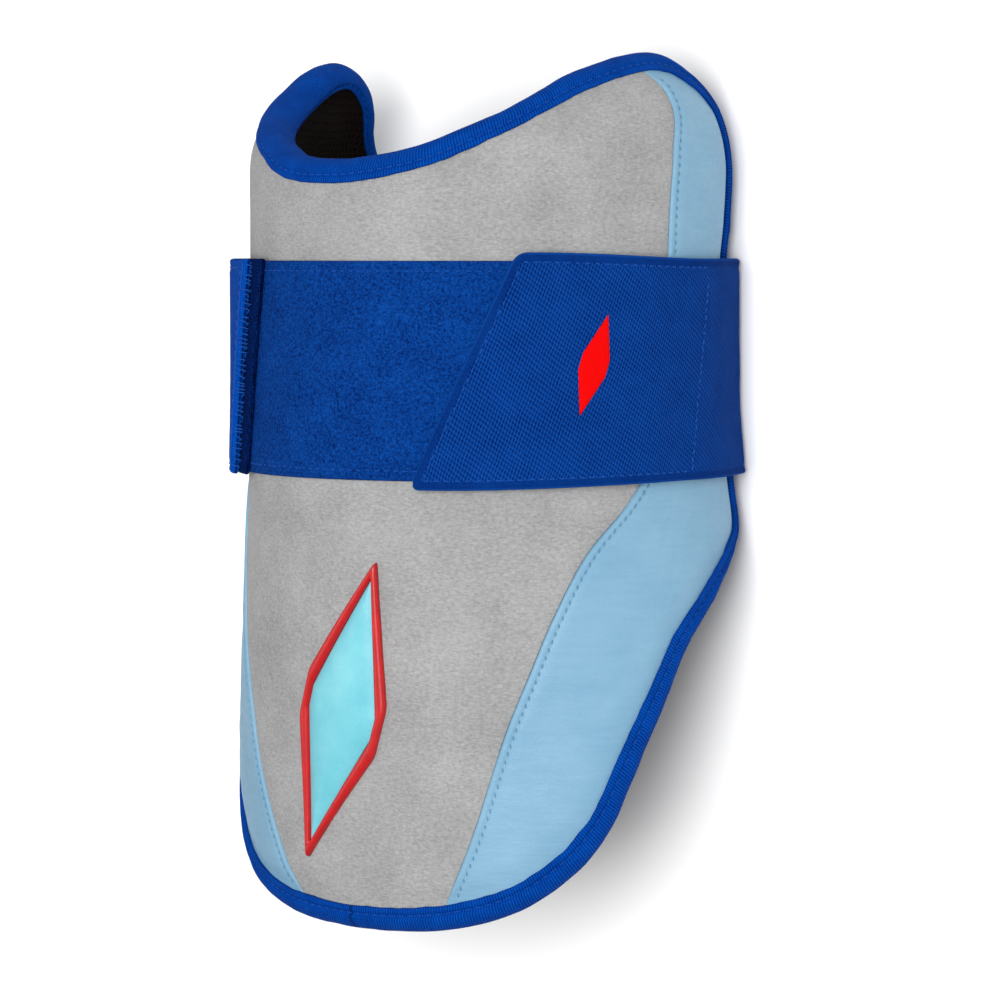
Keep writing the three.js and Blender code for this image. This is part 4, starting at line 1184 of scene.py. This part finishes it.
def tube(points, radius, sides=8):
    """A round thread along a line, with closed ends."""
    along = unit(np.gradient(points, axis=0))
    up = np.tile([0.3, 0.2, 0.9], (len(points), 1))
    side = unit(np.cross(up, along))
    up = np.cross(along, side)
    turns = np.linspace(0, 2 * math.pi, sides, endpoint=False)
    round_way = np.cos(turns)[None, :, None] * side[:, None] + np.sin(turns)[None, :, None] * up[:, None]
    rings = points[:, None] + radius * round_way
    run = np.concatenate([[0], np.cumsum(np.linalg.norm(np.diff(points, axis=0), axis=1))])
    st = np.stack([np.repeat(run[:, None], sides, 1), np.tile(turns * radius, (len(points), 1)),
                   np.ones((len(points), sides))], -1)
    faces = [tuple(map(int, f)) for f in tube_faces(len(points), sides, False)]
    last = (len(points) - 1) * sides
    faces += [tuple(range(sides - 1, -1, -1)), tuple(last + q for q in range(sides))]
    return rings.reshape(-1, 3), faces, st.reshape(-1, 3)


def binding_stitches():
    at, steps, _ = rim_frames(900)
    rows = []
    for lift, sign, groove in ((0.0, 1, GROOVE), (2 * ROLL_MIDDLE, -1, INNER_GROOVE)):
        angle = at[:, 0] + steps[:, 0] * groove
        along = at[:, 1] + steps[:, 1] * groove
        points = lifted(angle, along, np.full(len(angle), lift))
        ways = tangents(angle, along)[2] * sign
        hits, _ = dropped(binding_piece, points, ways, 3.0)
        hits, ways = np.vstack([hits, hits[:1]]), np.vstack([ways, ways[:1]])
        rows.append(stitch_row(hits, ways, 2.6, 1.9, 0.17))
    return rows


def seam_stitches(piece, side):
    line = seam_line(side, 1.45)(np.linspace(0, 1, 900))
    points = base(line[:, 0], line[:, 1])
    keep = nearest(points, rim_points) > 5.6
    line = line[keep]
    ways = tangents(line[:, 0], line[:, 1])[2]
    hits, _ = dropped(piece, base(line[:, 0], line[:, 1]), ways)
    return stitch_row(hits, ways, 2.05, 1.5, 0.17, skew=0.45 * side)


def loop_stitches():
    rows = []
    for edge in (-1, 1):
        angle = np.radians(np.linspace(-40, 56, 400))
        along = np.full(400, STRAP_CENTRE + edge * (LOOP_WIDTH / 2 - 2.4))
        ways = tangents(angle, along)[2]
        hits, _ = dropped(loop_piece, base(angle, along), ways)
        rows.append(stitch_row(hits, ways, 2.5, 1.5, 0.15))
    return rows


def strap_place(a_value, run_value, from_far=False):
    """A point of the strap's outer face by its place across and its run from an end."""
    a, run, left, upper = strap_skin
    row = int(np.argmin(np.abs(a[:, 0] - a_value)))
    reach = left[row] if from_far else run[row]
    order = np.argsort(reach)
    return np.array([np.interp(run_value, reach[order], upper[row, order, k]) for k in range(3)])


def strap_outward(points):
    """Ways out of the strap near points over the shell."""
    angle = np.arctan2(points[:, 0] / HALF_WIDTH, (points[:, 2] - CENTRE_HEIGHT) / CROWN_HEIGHT)
    return tangents(angle, points[:, 1] + STRAP_CENTRE)[2]


def strap_stitches():
    rows = []
    edge = 2.3 / STRAP_WIDTH

    def tab_run(a_value):
        seam = TAB_SEAM[0] + (TAB_SEAM[1] - TAB_SEAM[0]) * a_value
        return math.radians(seam - tab_end(a_value)) * (HALF_WIDTH + 4)

    for a_value in (edge, 1 - edge):
        line = np.array([strap_place(a_value, r) for r in np.linspace(2.2, tab_run(a_value), 160)])
        rows.append(line)
    rows.append(np.array([strap_place(v, HEM) for v in np.linspace(edge, 1 - edge, 160)]))
    rows.append(np.array([strap_place(v, tab_run(v)) for v in np.linspace(edge, 1 - edge, 160)]))
    far_run = math.radians(HOOK_END + FAR_END) * (HALF_WIDTH + 3)
    for a_value in (edge, 1 - edge):
        rows.append(np.array([strap_place(a_value, r, True) for r in np.linspace(2.2, far_run, 160)]))
    rows.append(np.array([strap_place(v, 2.0, True) for v in np.linspace(edge, 1 - edge, 160)]))
    rows.append(np.array([strap_place(v, far_run, True) for v in np.linspace(edge, 1 - edge, 160)]))
    made = []
    for line in rows:
        ways = strap_outward(line)
        hits, found = dropped(strap_piece, line, ways, 4.0)
        made.append(stitch_row(hits[found], ways[found], 2.5, 1.6, 0.18))
    return made


def overlock():
    """Thread wound over the strap's far end, and the thread that runs along it."""
    rows = strap_skin[0][:, 0]
    rows = rows[(rows > 0.012) & (rows < 0.988)]
    edge_line = np.array([strap_place(v, 0.1, True) for v in rows])
    inner_line = np.array([strap_place(v, 1.0, True) for v in rows])
    edge_line, inner_line = even(edge_line, inner_line, step=0.07)
    ways = strap_outward(edge_line)
    toward = unit(edge_line - inner_line)
    run = np.concatenate([[0], np.cumsum(np.linalg.norm(np.diff(edge_line, axis=0), axis=1))])
    turn = (run + 0.45 * soft_noise(edge_line, 4, 51)) * 2 * math.pi / OVERLOCK_PITCH
    reach = OVERLOCK_REACH * (1 + 0.3 * soft_noise(edge_line, 1.5, 52))[:, None]
    wound = edge_line - ways * 0.75 + reach * (np.cos(turn)[:, None] * toward + np.sin(turn)[:, None] * ways)
    return [tube(inner_line + ways * 0.1, 0.17), tube(wound, 0.17, 6)]


front_piece = front_cover()
right_piece = side_cover("side_cover_right", 1)
left_piece = side_cover("side_cover_left", -1)
lining_piece = lining()
binding_piece = rim_binding()
loop_piece = loop_band()
hook_tab_piece, hook_far_piece = hook_tapes()
strap_piece, strap_skin = strap()
border_piece, badge_piece = badge()
mark_piece = strap_mark()

sky_leather, binding_tape = light_blue_leather(), blue_binding()
for piece, material in (
    (front_piece, grey_suede()), (right_piece, sky_leather), (left_piece, sky_leather),
    (lining_piece, lining_mesh()), (binding_piece, binding_tape), (loop_piece, blue_loop()),
    (strap_piece, blue_elastic()), (border_piece, red_trim()), (badge_piece, cyan_patch()),
    (mark_piece, red_print()),
):
    paint(piece, material)
hook_material = navy_hook()
paint(hook_tab_piece, hook_material)
paint(hook_far_piece, hook_material)

blue_thread = thread("blue_thread", rgb(8, 62, 158), rgb(40, 112, 214))
sky_thread = thread("light_blue_thread", rgb(98, 150, 188), rgb(134, 184, 216))
thread_piece("stitches_binding", binding_stitches(), blue_thread)
thread_piece("stitches_seam_right", [seam_stitches(right_piece, 1)], sky_thread)
thread_piece("stitches_seam_left", [seam_stitches(left_piece, -1)], sky_thread)
thread_piece("stitches_loop", loop_stitches(), blue_thread)
thread_piece("stitches_strap", strap_stitches(), blue_thread)
thread_piece("overlock_far", overlock(), blue_thread)

# The photograph's camera: degrees round from straight above, and degrees towards the lobed end
CAMERA_ROUND, CAMERA_TILT = math.radians(40), math.radians(3.3)
CAMERA_DISTANCE = 1.072
FRAME_CENTRE = -0.0338
BACK = Vector((math.sin(CAMERA_ROUND) * math.cos(CAMERA_TILT), math.sin(CAMERA_TILT),
               math.cos(CAMERA_ROUND) * math.cos(CAMERA_TILT)))
RIGHT = Vector((math.cos(CAMERA_ROUND), 0, -math.sin(CAMERA_ROUND)))
UP = BACK.cross(RIGHT)
camera = bpy.data.objects.new("camera", bpy.data.cameras.new("camera"))
camera.data.lens = 154.4
camera.data.sensor_width = 36
camera.data.clip_end = 50
target = Vector((0, FRAME_CENTRE, CENTRE_HEIGHT * 0.001)) + RIGHT * 0.001
place = target + BACK * CAMERA_DISTANCE
camera.matrix_world = Matrix(((RIGHT.x, UP.x, BACK.x, place.x), (RIGHT.y, UP.y, BACK.y, place.y),
                              (RIGHT.z, UP.z, BACK.z, place.z), (0, 0, 0, 1)))
bpy.context.scene.collection.objects.link(camera)
bpy.context.scene.camera = camera

floor_mesh = bpy.data.meshes.new("floor")
floor_mesh.from_pydata([(-8, -8, 0), (8, -8, 0), (8, 8, 0), (-8, 8, 0)], [], [(0, 1, 2, 3)])
floor = bpy.data.objects.new("floor", floor_mesh)
bpy.context.scene.collection.objects.link(floor)
paint(floor, floor_material())


def area_light(name, way, distance, size, power):
    """A square light that looks at the guard from a direction given as (right, up, back)."""
    toward = (RIGHT * way[0] + UP * way[1] + BACK * way[2]).normalized()
    light = bpy.data.lights.new(name, "AREA")
    light.energy, light.size = power, size
    obj = bpy.data.objects.new(name, light)
    obj.location = target + toward * distance
    obj.rotation_mode = "QUATERNION"
    obj.rotation_quaternion = toward.to_track_quat("Z", "Y")
    bpy.context.scene.collection.objects.link(obj)


area_light("key", (-0.22, 0.02, 1.0), 1.5, 0.7, 26)
area_light("left_fill", (-1.0, 0.0, 0.15), 1.3, 0.8, 4)
area_light("right_fill", (1.0, 0.0, 0.1), 1.3, 0.8, 4)
world = bpy.data.worlds.new("studio")
world.use_nodes = True
world.node_tree.nodes["Background"].inputs["Color"].default_value = (1, 1, 1, 1)
world.node_tree.nodes["Background"].inputs["Strength"].default_value = 0.3
bpy.context.scene.world = world
bpy.context.scene.view_settings.view_transform = "Standard"
